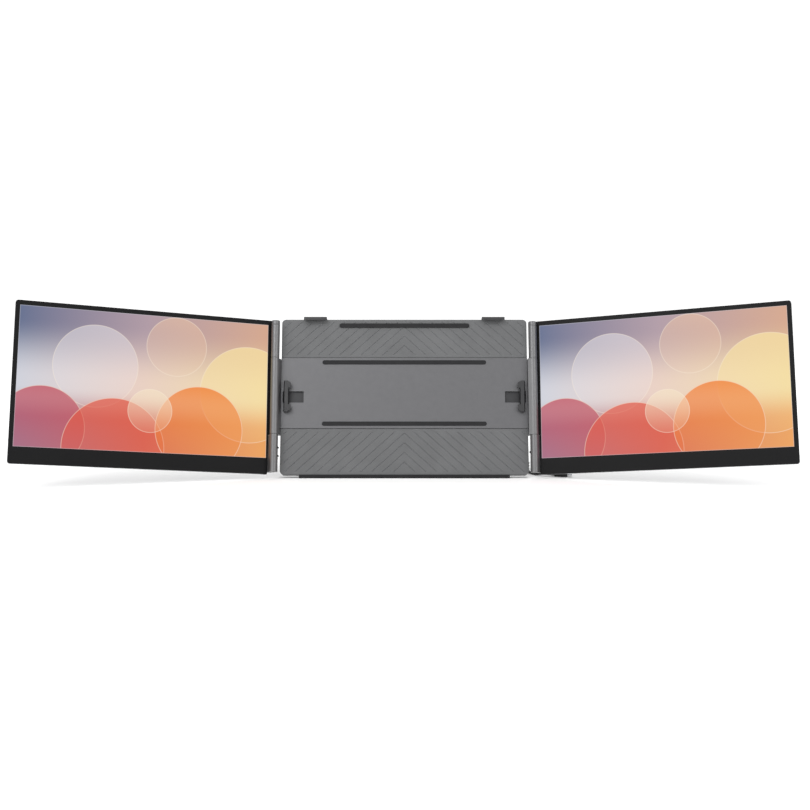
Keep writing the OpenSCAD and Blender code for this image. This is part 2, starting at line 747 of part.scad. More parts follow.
module kickstand_pins() color(steel) kick_opened() both_sides()
  bar_x(0, 0, pin_r, kick_w / 2 - pin_hold, recess_half + bracket_w - 0.8);

module kickstand_foot() color(rubber_black) kick_opened() {
  dy = foot_y - pivot_y;
  from_side(-kick_w / 2 + 4, kick_w / 2 - 4) union() {
    translate([dy, -kick_len]) circle(kick_foot_r);
    translate([dy - kick_foot_r, -kick_len]) square([2 * kick_foot_r, kick_foot_r]);
    translate([kick_y - pivot_y + kick_t, -kick_len + kick_foot_r - tiny])
      square([2 * kick_foot_r - kick_t, 6]);
  }
}

// ---------- electronics of the frame ----------

module control_board() color(board_green) leaned() {
  board_y = frame_d - socket_len - board_t;
  from_front(board_y, board_y + board_t) rounded_2d(recess_half + 4, board_z0, frame_half - 20, board_z1, 2);
  for (x = [socket_x + 2, socket_x + 22])
    block(x, board_y - chip_t, board_z1 - 18, x + 11, board_y, board_z1 - 7);
}

module usb_sockets() color(steel) leaned() for (x = socket_xs) difference() {
  from_front(frame_d - socket_len, frame_d - 0.1) rounded_2d(x - socket_w / 2, socket_z - socket_t / 2,
    x + socket_w / 2, socket_z + socket_t / 2, socket_t / 2 - 0.02);
  from_front(frame_d - socket_len + 0.8, frame_d + over)
    translate([x - mouth_w / 2, socket_z - mouth_t / 2])
      rounded_2d(0, 0, mouth_w, mouth_t, mouth_t / 2 - 0.02);
}

module frame_screws() color(steel) leaned() {
  at_frame_screws() back_screw(0, 0, frame_d, frame_d - plate_y);
  both_sides() at_ear_screws() {
    bar_y(0, 0, ear_screw_r + over, ear_y, ear_y + 1.2);
    bar_y(0, 0, ear_screw_r, plate_y + 0.1, ear_y + 0.1);
  }
}

// ---------- side screens ----------
// Drawn from the hinge axis outwards, with the face at Y = setback

module housing_outline(x0, inset = 0) intersection() {
  rounded_2d(x0 - 20, inset, housing_end - inset, housing_h - inset, housing_r - inset);
  translate([x0, 0]) square([housing_end, housing_h]);
}

module at_cover_screws() for (x = cover_screw_xs, z = cover_screw_zs) translate([x, 0, z]) children();

module back_cover(setback) {
  front = setback + bezel_t;
  back = setback + screen_t;
  difference() {
    intersection() {
      from_front(front, back) housing_outline(cover_start);
      from_top(-over, housing_h + over) back_rounded_2d(-20, 0, housing_end, back, cover_edge_r);
      from_side(0, housing_end + over) mirror([1, -1]) back_rounded_2d(0, 0, housing_h, back, cover_edge_r);
    }
    difference() {
      from_front(front - over, back - cover_wall) housing_outline(cover_start - over, cover_wall);
      at_cover_screws() bar_y(0, 0, cover_post_r, front - over, back);
    }
    at_cover_screws() back_screw_hole(0, 0, back, screen_t);
    // Seam line between the cover's upper plate and its lower edge piece
    from_side(cover_start - over, housing_end + over) polygon([
      [back - seam_cut, cover_seam_z], [back + over, cover_seam_z - seam_cut - over],
      [back + over, cover_seam_z + seam_cut + over]
    ]);
    // Vent slots in two rows
    for (i = [0 : 15], side = [-1, 1]) translate([housing_end / 2 + side * 76 + (i - 7.5) * 4.4, 0, 30])
      from_front(back - cover_wall - over, back + over) rounded_2d(-0.8, -6, 0.8, 6, 0.75);
  }
}

module bezel(setback) difference() {
  from_front(setback, setback + bezel_t) {
    housing_outline(axis_to_housing);
    // Strip beside the middle and upper knuckles
    translate([bezel_in, mid_low]) square([axis_to_housing - bezel_in + tiny, housing_h - mid_low]);
  }
  from_front(setback - over, setback + bezel_t + over) translate([axis_to_active, chin_h])
    square([active_w, active_h]);
  // Seat of the glass behind the lip
  from_front(setback + lip_t, setback + bezel_t + over)
    translate([axis_to_active - glass_side, chin_h - glass_margin])
      square([active_w + glass_side + glass_margin, active_h + 2 * glass_margin]);
  // Hollow of the chin, with posts left standing for the screws
  difference() {
    from_front(setback + chin_floor, setback + bezel_t + over)
      translate([cover_start + 4, chin_hollow_z0])
        square([housing_end - cover_start - 10, chin_hollow_z1 - chin_hollow_z0]);
    at_cover_screws() bar_y(0, 0, cover_post_r, setback, setback + screen_t);
  }
  for (x = cover_screw_xs)
    bar_y(x, cover_screw_z, screw_r + 0.05, setback + chin_floor, setback + bezel_t + over);
}

module display(setback) from_front(setback + lip_t, setback + bezel_t)
  translate([axis_to_active - glass_side, chin_h - glass_margin])
    square([active_w + glass_side + glass_margin, active_h + 2 * glass_margin]);

module backlight(setback) difference() {
  from_front(setback + bezel_t, setback + bezel_t + backlight_t) translate([cover_start + 0.4, chin_h - 2])
    square([housing_end - cover_wall - cover_start - 1, active_h + 4]);
  at_cover_screws() bar_y(0, 0, cover_post_r + 0.2, setback, setback + screen_t);
}

module driver_board(setback) {
  board_y = setback + chin_floor;
  x0 = cover_screw_xs[0] + 8;
  x1 = cover_screw_xs[1] - 8;
  from_front(board_y, board_y + board_t) rounded_2d(x0, chin_hollow_z0 + 0.6, x1, chin_hollow_z1 - 0.6, 1.5);
  for (x = [x0 + 12 : 36 : x1 - 20])
    block(x, board_y + board_t, 6, x + 14, board_y + board_t + chip_t, 15);
}

module hinge_spine(setback) {
  front = setback + bezel_t;
  back = setback + screen_t;
  web_x = axis_to_housing + 0.4;
  web_back = [[web_x, front], [web_x, back - 1.4], [1, setback + 2.5], [-knuckle_r * 0.5, knuckle_r * 0.6]];
  low_web = concat([
    [0, -knuckle_r * 0.5], [knuckle_r * 0.8, -knuckle_r * 0.6], [axis_to_housing - 0.1, front]
  ], web_back);
  high_web = concat([[0, 0], [bezel_in - 0.1, 0], [bezel_in - 0.1, front]], web_back);
  difference() {
    union() {
      from_top(0, housing_h) polygon([
        [axis_to_housing, front], [cover_start, front], [cover_start, back],
        [axis_to_housing + 1.4, back], [axis_to_housing, back - 1.4]
      ]);
      for (k = [[knuckle_low, low_knuckle_end, low_web], [high_knuckle_start, knuckle_high, high_web]])
        from_top(k[0], k[1]) {
          circle(knuckle_r);
          polygon(k[2]);
        }
    }
    // Stepped bores: a wide seat for each bush next to the middle knuckle, a clear bore beyond it
    translate([0, 0, knuckle_low + blind_t]) cylinder(r = shaft_clear_r, h = low_knuckle_end);
    translate([0, 0, low_knuckle_end - bush_len]) cylinder(r = bush_r + fit_gap, h = bush_len + over);
    translate([0, 0, high_knuckle_start - over]) cylinder(r = shaft_clear_r, h = knuckle_high);
    translate([0, 0, high_knuckle_start - over]) cylinder(r = bush_r + fit_gap, h = bush_len + over);
    children();
  }
}

module bushes() for (z = [low_knuckle_end - bush_len, high_knuckle_start])
  translate([0, 0, z]) difference() {
    cylinder(r = bush_r, h = bush_len);
    translate([0, 0, -over]) cylinder(r = shaft_r + run_gap, h = bush_len + 2 * over);
  }

// Domed cap with a ring groove, and a chamfer where it meets the barrel
module knuckle_caps() translate([0, 0, knuckle_high]) {
  rotate_extrude() intersection() {
    translate([0, cap_h - dome_r]) circle(r = dome_r, $fn = 96);
    polygon([
      [0, 0], [knuckle_r - ring_cut, 0], [knuckle_r, ring_cut], [knuckle_r, cap_ring_z - ring_cut],
      [knuckle_r - ring_cut, cap_ring_z], [knuckle_r, cap_ring_z + ring_cut], [knuckle_r, cap_h - cap_round],
      [knuckle_r - cap_round * 0.3, cap_h - cap_round * 0.3], [knuckle_r - cap_round, cap_h], [0, cap_h]
    ]);
  }
  translate([0, 0, -cap_spigot]) cylinder(r = shaft_clear_r - fit_gap, h = cap_spigot + tiny);
}

module cover_screws(setback) for (x = cover_screw_xs) {
  back_screw(x, cover_screw_zs[0], setback + screen_t, chin_screw_len);
  back_screw(x, cover_screw_zs[1], setback + screen_t, cover_screw_len);
}

// Buttons stand out of the lower knuckle on the side that faces the frame
module at_button(z) rotate([0, 0, 180 + toe_in]) translate([0, 0, z]) rotate([0, 90, 0]) children();

module button_hole(z) at_button(z) cylinder(r = button_r + 0.25, h = knuckle_r + 2);

module button(z) at_button(z) translate([0, 0, shaft_clear_r + 0.8]) union() {
  cylinder(r = button_r, h = knuckle_r + button_proud - 0.4 - shaft_clear_r - 0.8);
  cylinder(r = button_r - 0.4, h = knuckle_r + button_proud - shaft_clear_r - 0.8);
}

module left_back_cover() color(grey_metal) left_screen() back_cover(left_setback);
module left_bezel() color(black_plastic) left_screen() bezel(left_setback);
module left_display() color(glass_tint) left_screen() display(left_setback);
module left_backlight() color(steel) left_screen() backlight(left_setback);
module left_driver_board() color(board_green) left_screen() driver_board(left_setback);
module left_hinge_spine() color(grey_metal) left_screen() hinge_spine(left_setback) {
  button_hole(left_button_a);
  button_hole(left_button_b);
}
module left_knuckle_caps() color(grey_metal) left_screen() knuckle_caps();
module left_bushes() color(steel) left_screen() bushes();
module left_screws() color(steel) left_screen() cover_screws(left_setback);
module left_button_upper() color(black_plastic) left_screen() button(left_button_a);
module left_button_lower() color(black_plastic) left_screen() button(left_button_b);

module right_back_cover() color(grey_metal) right_screen() back_cover(right_setback);
module right_bezel() color(black_plastic) right_screen() bezel(right_setback);
module right_display() color(glass_tint) right_screen() display(right_setback);
module right_backlight() color(steel) right_screen() backlight(right_setback);
module right_driver_board() color(board_green) right_screen() driver_board(right_setback);
module right_hinge_spine() color(grey_metal) right_screen() hinge_spine(right_setback) {
  button_hole(right_button);
}
module right_knuckle_caps() color(grey_metal) right_screen() knuckle_caps();
module right_bushes() color(steel) right_screen() bushes();
module right_screws() color(steel) right_screen() cover_screws(right_setback);
module right_button_single() color(black_plastic) right_screen() button(right_button);
module right_bumpers() color(rubber_black) right_screen()
  for (x = [cover_start + 30, housing_end - 30], z = [chin_h / 2, housing_h - cover_edge_r - bumper_r - 0.2])
    bar_y(x, z, bumper_r, right_setback + screen_t, right_setback + screen_t + fold_gap * 0.7);

// ---------- cable ----------

// Tube along a list of points, closed at both ends
module tube(route, r, sides = 8) {
  last = len(route) - 1;
  rings = [for (i = [0 : last]) let (
    ahead = route[min(i + 1, last)] - route[max(i - 1, 0)],
    along = ahead / norm(ahead),
    across = cross([0, 0, 1], along),
    side = across / norm(across),
    up = cross(along, side)
  ) for (k = [0 : sides - 1]) let (a = 360 * (k + 0.5) / sides) route[i] + r * (cos(a) * side + sin(a) * up)];
  polyhedron(points = rings, faces = concat(
    [[for (k = [0 : sides - 1]) k]],
    [for (i = [0 : last - 1], k = [0 : sides - 1]) let (n = (k + 1) % sides)
      [i * sides + k, (i + 1) * sides + k, (i + 1) * sides + n, i * sides + n]],
    [[for (k = [sides - 1 : -1 : 0]) last * sides + k]]
  ));
}

module cable_lead() color(rubber_black) tube(lead_route, cable_r);

module cable_tail() color(rubber_black) tube(tail_route, cable_r);

// Ring of wound turns, grown or squeezed all round
module wound_ring(grow) rotate_extrude($fn = 64) translate([coil_r, 0])
  rounded_2d(-bundle_w / 2 - grow, max(-grow, 0), bundle_w / 2 + grow, bundle_h + grow, 2);

module tie_window()
  block(-tie_w / 2, coil_r - bundle_w, -over, tie_w / 2, coil_r + bundle_w, bundle_h + 2 * over);

module cable_coil() color(rubber_black) translate([coil_x, coil_y, 0]) {
  difference() {
    wound_ring(0);
    tie_window();
  }
  wound_ring(-tie_squeeze);
}

module cable_tie() color(rubber_black) translate([coil_x, coil_y, 0]) intersection() {
  tie_window();
  difference() {
    wound_ring(tie_t);
    wound_ring(-tie_squeeze);
  }
}

// Plug drawn along +Y, its shoulder at the origin
module plug() {
  from_front(-tongue_len, over) rounded_2d(-tongue_w / 2, -tongue_t / 2, tongue_w / 2, tongue_t / 2,
    tongue_t / 2 - 0.02);
  from_front(0, plug_len) rounded_2d(-plug_w / 2, -plug_t / 2, plug_w / 2, plug_t / 2, 2.4);
  translate([0, plug_len - tiny, 0]) rotate([-90, 0, 0])
    cylinder(r1 = relief_r, r2 = cable_r + 0.1, h = relief_len);
}

module near_plug() color(rubber_black) leaned() translate([socket_x, plug_mouth_y, socket_z]) plug();

module far_plug() color(rubber_black)
  translate([far_plug_x, far_plug_y, plug_t / 2]) rotate([0, 0, 90 + far_plug_turn]) plug();

// ---------- drawing ----------

back_shell();
chassis_plate();
upper_grip_panel();
lower_grip_panel();
middle_band();
left_hinge_block();
right_hinge_block();
left_hinge_shaft();
right_hinge_shaft();
friction_washers();
side_clip_guides();
top_clip_guides();
lid_pads();
foot_strip();
kickstand_brackets();
control_board();
usb_sockets();
frame_screws();
kickstand_leg();
kickstand_pins();
kickstand_foot();
left_clip_hook();
left_clip_pad();
left_clip_carriage();
right_clip_hook();
right_clip_pad();
right_clip_carriage();
left_top_clip();
left_top_pad();
right_top_clip();
right_top_pad();
left_back_cover();
left_bezel();
left_display();
left_backlight();
left_driver_board();
left_hinge_spine();
left_knuckle_caps();
left_bushes();
left_screws();
right_back_cover();
right_bezel();
right_display();
right_backlight();
right_driver_board();
right_hinge_spine();
right_knuckle_caps();
right_bushes();
right_screws();
right_bumpers();
left_button_upper();
left_button_lower();
right_button_single();
cable_lead();
cable_coil();
cable_tail();
near_plug();
far_plug();
cable_tie();
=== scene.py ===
# Laptop screen extender: finishes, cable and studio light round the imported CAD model.
import bmesh
import bpy
import json
import math
from mathutils import Matrix, Vector
from mathutils.geometry import interpolate_bezier


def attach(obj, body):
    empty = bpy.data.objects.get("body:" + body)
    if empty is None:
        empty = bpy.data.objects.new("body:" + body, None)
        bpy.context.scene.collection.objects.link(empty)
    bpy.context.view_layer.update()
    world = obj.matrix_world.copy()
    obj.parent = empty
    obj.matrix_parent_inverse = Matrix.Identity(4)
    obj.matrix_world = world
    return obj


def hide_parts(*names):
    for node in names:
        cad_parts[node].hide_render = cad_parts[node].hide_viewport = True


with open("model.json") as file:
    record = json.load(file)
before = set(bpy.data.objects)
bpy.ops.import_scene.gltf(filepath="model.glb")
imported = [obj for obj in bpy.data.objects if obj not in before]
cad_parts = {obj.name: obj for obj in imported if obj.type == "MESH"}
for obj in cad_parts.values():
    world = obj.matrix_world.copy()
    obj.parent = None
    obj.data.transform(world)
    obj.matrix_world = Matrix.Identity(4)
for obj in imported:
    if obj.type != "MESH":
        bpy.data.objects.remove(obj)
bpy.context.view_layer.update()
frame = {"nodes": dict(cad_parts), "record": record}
nodes = frame["nodes"]
sides = {"left": -1, "right": 1}
mm = 0.001
print("frame loaded with", len(nodes), "nodes")

# Posture of the object, as in its CAD source: angles in degrees
posture = {"lean": 15.4, "toeIn": 20.2, "footLift": 5 * mm}
leanBack = Matrix.Rotation(-math.radians(posture["lean"]), 4, "X")
uprightToLeaned = Matrix.Translation((0, 0, posture["footLift"])) @ leanBack


# Studio: camera, floor, lights
studio = {
    "cameraPlace": (0.001, -1.7766, 0.275),
    "cameraPitch": 5.48,          # degrees below level
    "lens": 56.08,                # millimetres, like the sensor's width
    "sensorWidth": 36,
    "reach": 60,                  # metres that the camera sees
    "floorSize": 60.0,
    "floorColour": "#fafafa",
    "floorRoughness": 0.95,
    "floorSpecular": 0.1,
    "roomColour": "#fefefe",
    "roomLight": 1.0,
    "sideLight": 0.68,            # light of the walls at the far left and right
    "sideSpan": (0.6, 0.95),      # where it falls off to that, as the direction's part along X
    "ceilingLight": 1.3,          # how much brighter the room is overhead than at eye level
    "ceilingSpan": (0.2, 0.7),    # where it brightens to that, as the direction's part along Z
    "backdropLight": 1.1,         # the plain white that stands behind the object in every view
}
cameraTurn = (math.radians(90 - studio["cameraPitch"]), 0, 0)
bpy.ops.object.camera_add(location=studio["cameraPlace"], rotation=cameraTurn)
camera = bpy.context.object
camera.name = "camera"
camera.data.lens = studio["lens"]
camera.data.sensor_width = studio["sensorWidth"]
camera.data.clip_end = studio["reach"]
bpy.context.scene.camera = camera
bpy.context.scene.view_settings.view_transform = "Standard"


def linear(hexColour):
    channels = [int(hexColour[i:i + 2], 16) / 255 for i in (1, 3, 5)]
    return tuple(c / 12.92 if c <= 0.04045 else ((c + 0.055) / 1.055) ** 2.4 for c in channels) + (1.0,)


def addNode(tree, kind, out=None, settings={}, inputs={}, ramp=()):
    # settings are the node's own options, inputs are values or sockets to link. Gives back the output
    # that out names, or else the node. A Mix node's colours are its inputs 6 and 7 and its output 2.
    made = tree.nodes.new("ShaderNode" + kind)
    for key, value in settings.items():
        setattr(made, key, value)
    for key, value in inputs.items():
        if isinstance(value, bpy.types.NodeSocket):
            tree.links.new(value, made.inputs[key])
        else:
            made.inputs[key].default_value = value
    if ramp:
        stops = made.color_ramp.elements
        while len(stops) < len(ramp):
            stops.new(1.0)
        for stop, (position, colour) in zip(stops, ramp):
            stop.position = position
            stop.color = linear(colour)
    return made if out is None else made.outputs[out]


def emptyMaterial(name):
    material = bpy.data.materials.new(name)
    material.use_nodes = True
    material.node_tree.nodes.clear()
    return material, material.node_tree


# What a finish has where it doesn't say otherwise
finishDefaults = {
    "stretch": (1, 1, 1),     # grain drawn out along an axis
    "grainShare": 0.5,        # how much the grain counts in the colour, beside the mottling
    "noiseSpread": 0.22,      # the noise's usual swing to either side of its middle
    "bentFrom": 0.995, "bentTo": 0.8,     # cosines of the turn between which an edge pales
    "metallic": 0.0, "specular": 0.5, "sheen": 0.0,
}


def buildFinish(name, look, pattern=None):
    # A surface with mottled colour, grain in the relief, uneven gloss and edges painted paler, partly as wear
    # and partly as a painted highlight
    look = dict(finishDefaults, **look)
    material, tree = emptyMaterial(name)
    place = addNode(tree, "TexCoord", "Object")
    stretched = addNode(tree, "Mapping", "Vector", inputs={"Vector": place, "Scale": look["stretch"]})
    mottle = addNode(tree, "TexNoise", "Fac", inputs={
        "Vector": place, "Scale": 1 / (look["mottleMm"] * mm), "Detail": 4, "Roughness": 0.6})
    grain = addNode(tree, "TexNoise", "Fac", inputs={
        "Vector": stretched, "Scale": 1 / (look["grainMm"] * mm), "Detail": 3, "Roughness": 0.65})
    mixed = addNode(tree, "Math", 0, {"operation": "MULTIPLY_ADD"}, {
        0: grain, 1: look["grainShare"], 2: mottle})
    middle = 0.5 * (1 + look["grainShare"])
    low, high = middle - look["noiseSpread"], middle + look["noiseSpread"]
    colour = addNode(tree, "ValToRGB", "Color", inputs={"Fac": mixed}, ramp=[
        (low, look["shade"]), (high, look["colour"])])
    softNormal = addNode(tree, "Bevel", "Normal", {"samples": 4}, {"Radius": look["edgeMm"] * mm})
    flatNormal = addNode(tree, "NewGeometry", "Normal")
    facing = addNode(tree, "VectorMath", "Value", {"operation": "DOT_PRODUCT"}, {
        0: softNormal, 1: flatNormal})
    # Edges, convex and concave alike, take the paler edge tone: partly wear, partly a painted highlight
    edgeWearAndHighlight = addNode(tree, "MapRange", "Result", inputs={
        "Value": facing, "From Min": look["bentFrom"], "From Max": look["bentTo"],
        "To Min": 0.0, "To Max": look["edgeShare"]})
    wearAndHighlight = addNode(tree, "Math", 0, {"operation": "MULTIPLY", "use_clamp": True}, {0: edgeWearAndHighlight, 1: mixed})
    height = grain
    if pattern:
        colour, height = pattern(tree, place, colour, grain)
    painted = addNode(tree, "Mix", 2, {"data_type": "RGBA"}, {
        "Factor": wearAndHighlight, 6: colour, 7: linear(look["edge"])})
    smoothest, dullest = look["roughness"]
    gloss = addNode(tree, "MapRange", "Result", inputs={
        "Value": mixed, "From Min": low, "From Max": high, "To Min": smoothest, "To Max": dullest})
    relief = addNode(tree, "Bump", "Normal", inputs={
        "Height": height, "Distance": look["depthMm"] * mm, "Strength": 1.0, "Normal": softNormal})
    shader = addNode(tree, "BsdfPrincipled", "BSDF", inputs={
        "Base Color": painted, "Roughness": gloss, "Normal": relief, "Metallic": look["metallic"],
        "Specular IOR Level": look["specular"], "Sheen Weight": look["sheen"]})
    addNode(tree, "OutputMaterial", inputs={"Surface": shader})
    return material


def dress(piece, material):
    piece.data.materials.clear()
    piece.data.materials.append(material)


# Floor of matt paper, wide enough that its far edge is lost in the white
bpy.ops.object.select_all(action="DESELECT")
bpy.ops.mesh.primitive_plane_add(size=studio["floorSize"])
floor = bpy.context.object
floor.name = "studioFloor"
mattPaper, paperTree = emptyMaterial("mattPaper")
paperShader = addNode(paperTree, "BsdfPrincipled", "BSDF", inputs={
    "Base Color": linear(studio["floorColour"]), "Roughness": studio["floorRoughness"],
    "Specular IOR Level": studio["floorSpecular"]})
addNode(paperTree, "OutputMaterial", inputs={"Surface": paperShader})
dress(floor, mattPaper)

# White room with a dimmer wall at each side, which draws the edges of round metal pieces
world = bpy.data.worlds.new("whiteRoom")
world.use_nodes = True
room = world.node_tree
room.nodes.clear()
direction = addNode(room, "TexCoord", "Generated")
compass = addNode(room, "SeparateXYZ", inputs={"Vector": direction})
offCentre = addNode(room, "Math", 0, {"operation": "ABSOLUTE"}, {0: compass.outputs["X"]})
wallLight = addNode(room, "MapRange", "Result", {"interpolation_type": "SMOOTHSTEP"}, {
    "Value": offCentre, "From Min": studio["sideSpan"][0], "From Max": studio["sideSpan"][1],
    "To Min": studio["roomLight"], "To Max": studio["sideLight"]})
overhead = addNode(room, "MapRange", "Result", {"interpolation_type": "SMOOTHSTEP"}, {
    "Value": compass.outputs["Z"], "From Min": studio["ceilingSpan"][0], "From Max": studio["ceilingSpan"][1],
    "To Min": 1.0, "To Max": studio["ceilingLight"]})
brightness = addNode(room, "Math", 0, {"operation": "MULTIPLY"}, {0: wallLight, 1: overhead})
seen = addNode(room, "LightPath", "Is Camera Ray")
strength = addNode(room, "Mix", 0, inputs={"Factor": seen, 2: brightness, 3: studio["backdropLight"]})
background = addNode(room, "Background", "Background", inputs={
    "Color": linear(studio["roomColour"]), "Strength": strength})
addNode(room, "OutputWorld", inputs={"Surface": background})
bpy.context.scene.world = world

softboxes = [
    # name, place, size, watts
    ("keyBox", (-1.5, -2.4, 2.2), 1.6, 30),
    ("fillBox", (2.1, -2.0, 1.4), 1.2, 10),
    ("rearBox", (0.6, 2.4, 2.4), 1.6, 24),
]
litMiddle = Vector((0, 0, 0.1))     # all of them aim at the middle of the object
for boxName, boxPlace, size, watts in softboxes:
    boxTurn = (litMiddle - Vector(boxPlace)).to_track_quat("-Z", "Y").to_euler()
    bpy.ops.object.light_add(type="AREA", location=boxPlace, rotation=boxTurn)
    box = bpy.context.object
    box.name = boxName
    box.data.size = size
    box.data.energy = watts
print("studio set")


# Steps of modelling by hand that several pieces share
closeTo = 0.01 * mm
cornerSteps = 6
creaseAngle = math.radians(35)      # edges that turn by more than this stay crisp


def activate(piece):
    bpy.ops.object.select_all(action="DESELECT")
    piece.select_set(True)
    bpy.context.view_layer.objects.active = piece


def addBlock(name, size, centre):
    # A cube at its size and place, in millimetres
    bpy.ops.object.select_all(action="DESELECT")
    bpy.ops.mesh.primitive_cube_add(size=1, location=[v * mm for v in centre])
    block = bpy.context.object
    block.name = name
    bpy.ops.transform.resize(value=[v * mm for v in size])
    bpy.ops.object.transform_apply(location=True, rotation=True, scale=True)
    return block


def pick(kind, test):
    # In edit mode, selects only the vertices, edges or faces that pass the test
    bpy.ops.mesh.select_mode(type=kind)
    bpy.ops.mesh.select_all(action="DESELECT")
    shape = bmesh.from_edit_mesh(bpy.context.object.data)
    for part in {"VERT": shape.verts, "EDGE": shape.edges, "FACE": shape.faces}[kind]:
        if test(part):
            part.select_set(True)
    bmesh.update_edit_mesh(bpy.context.object.data)


def roundCorners(axis, length, radius):
    # In edit mode, bevels the edges that run along an axis (0 for X, 1 for Y) for over half the length
    pick("EDGE", lambda e: abs(e.verts[0].co[axis] - e.verts[1].co[axis]) > length / 2 * mm)
    bpy.ops.mesh.bevel(offset=radius * mm, segments=cornerSteps, affect="EDGES")


def cutRound(y, width, depth, halfSize):
    # In edit mode, a V-shaped groove right round a piece that lies along Y, all in millimetres
    for step in (0, 0.5, 1):
        bpy.ops.mesh.select_all(action="SELECT")
        bpy.ops.mesh.bisect(plane_co=(0, (y + step * width) * mm, 0), plane_no=(0, 1, 0))
    middle = (y + width / 2) * mm
    pick("VERT", lambda v: abs(v.co.y - middle) < closeTo)
    shrink = (1 - depth / halfSize[0], 1, 1 - depth / halfSize[1])
    bpy.ops.transform.resize(value=shrink, center_override=(0, middle, 0))


def settle(piece, place):
    # Puts a finished piece in its place, with the place kept in its mesh
    activate(piece)
    piece.matrix_world = place
    bpy.ops.object.transform_apply(location=True, rotation=True, scale=True)


def copyOf(piece, name):
    twin = bpy.data.objects.new(name, piece.data.copy())
    bpy.context.scene.collection.objects.link(twin)
    return twin


def applyModifier(piece, kind, **settings):
    step = piece.modifiers.new("step", kind)
    for key, value in settings.items():
        setattr(step, key, value)
    activate(piece)
    bpy.ops.object.modifier_apply(modifier="step")


def shifted(place):
    # The move to a place given in millimetres
    return Matrix.Translation([v * mm for v in place])


# Plugs: moulded body with finger grooves, ribbed relief, hollow steel shell
plug = {
    # millimetres and degrees
    "body": (11.6, 18.0, 6.4), "cornerRadius": 2.4, "rearRim": 0.7, "frontRim": 0.3,
    "fingerGrooves": [9.0, 10.9, 12.8, 14.7], "grooveWidth": 0.9, "grooveDepth": 0.4,
    "relief": 9.0, "reliefRadii": (2.9, 2.1), "reliefSides": 28, "reliefSunk": 0.6,
    "ribGrooves": [19.6, 21.2, 22.8, 24.4], "ribWidth": 0.8, "ribDepth": 0.45, "ribRadius": 2.5,
    "shell": (8.25, 6.2, 2.4), "shellRound": 1.15, "shellWall": 0.3, "shellMouth": 5.0, "shellSunk": 0.5,
    "inSocket": (116, 15.2, 24),      # in the upright frame, before it leans back
    "onTable": (233.9, 15.3, 3.2), "turnOnTable": 78,
}
width, length, height = plug["body"]
plugBody = addBlock("nearPlugBody", plug["body"], (0, length / 2, 0))
bpy.ops.object.mode_set(mode="EDIT")
roundCorners(1, length, plug["cornerRadius"])
for y, radius in ((length, plug["rearRim"]), (0, plug["frontRim"])):
    pick("EDGE", lambda e: all(abs(v.co.y - y * mm) < closeTo for v in e.verts))
    bpy.ops.mesh.bevel(offset=radius * mm, segments=3, affect="EDGES")
for y in plug["fingerGrooves"]:
    cutRound(y, plug["grooveWidth"], plug["grooveDepth"], (width / 2, height / 2))
bpy.ops.object.mode_set(mode="OBJECT")

bpy.ops.object.select_all(action="DESELECT")
reliefLength = plug["relief"] + plug["reliefSunk"]
wideEnd, thinEnd = plug["reliefRadii"]
bpy.ops.mesh.primitive_cone_add(
    vertices=plug["reliefSides"], radius1=wideEnd * mm, radius2=thinEnd * mm, depth=reliefLength * mm,
    location=(0, (length - plug["reliefSunk"] + reliefLength / 2) * mm, 0),
    rotation=(math.radians(-90), 0, 0))
relief = bpy.context.object
bpy.ops.object.transform_apply(location=True, rotation=True, scale=True)
bpy.ops.object.mode_set(mode="EDIT")
for y in plug["ribGrooves"]:
    cutRound(y, plug["ribWidth"], plug["ribDepth"], (plug["ribRadius"], plug["ribRadius"]))
bpy.ops.object.mode_set(mode="OBJECT")
applyModifier(plugBody, "BOOLEAN", operation="UNION", solver="EXACT", object=relief)
bpy.data.objects.remove(relief)
bpy.ops.object.shade_smooth_by_angle(angle=creaseAngle)

width, length, height = plug["shell"]
shellSize = (width, length + plug["shellSunk"], height)
plugShell = addBlock("nearPlugShell", shellSize, (0, (plug["shellSunk"] - length) / 2, 0))
bpy.ops.object.mode_set(mode="EDIT")
roundCorners(1, length, plug["shellRound"])
pick("FACE", lambda f: f.normal.y < -0.9)
bpy.ops.mesh.inset(thickness=plug["shellWall"] * mm)
bpy.ops.mesh.extrude_region_move(TRANSFORM_OT_translate={"value": (0, plug["shellMouth"] * mm, 0)})
bpy.ops.object.mode_set(mode="OBJECT")
bpy.ops.object.shade_smooth_by_angle(angle=creaseAngle)

farPlugBody, farPlugShell = copyOf(plugBody, "farPlugBody"), copyOf(plugShell, "farPlugShell")
inSocket = uprightToLeaned @ shifted(plug["inSocket"])
onTable = shifted(plug["onTable"]) @ Matrix.Rotation(math.radians(plug["turnOnTable"]), 4, "Z")
placed = [(plugBody, inSocket), (plugShell, inSocket), (farPlugBody, onTable), (farPlugShell, onTable)]
for piece, place in placed:
    settle(piece, place)
    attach(piece, "frame")
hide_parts("near_plug")
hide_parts("far_plug")
print("plugs made")

# Tongue in the free socket: a thin moulded blade with the recess for its contacts on both faces
tongue = {"size": (6.7, 5.6, 0.7), "place": (140, 11.0, 24), "tip": 0.18, "border": 0.5, "recess": 0.06}
socketTongue = addBlock("socketTongue", tongue["size"], (0, 0, 0))
bpy.ops.object.mode_set(mode="EDIT")
pick("EDGE", lambda e: all(v.co.y > 0 for v in e.verts))
bpy.ops.mesh.bevel(offset=tongue["tip"] * mm, segments=2, affect="EDGES")
pick("FACE", lambda f: abs(f.normal.z) > 0.99)
bpy.ops.mesh.inset(thickness=tongue["border"] * mm)
thinner = 1 - 2 * tongue["recess"] / tongue["size"][2]
bpy.ops.transform.resize(value=(1, 1, thinner), center_override=(0, 0, 0))
bpy.ops.object.mode_set(mode="OBJECT")
settle(socketTongue, uprightToLeaned @ shifted(tongue["place"]))
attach(socketTongue, "frame")
print("socket tongue made")


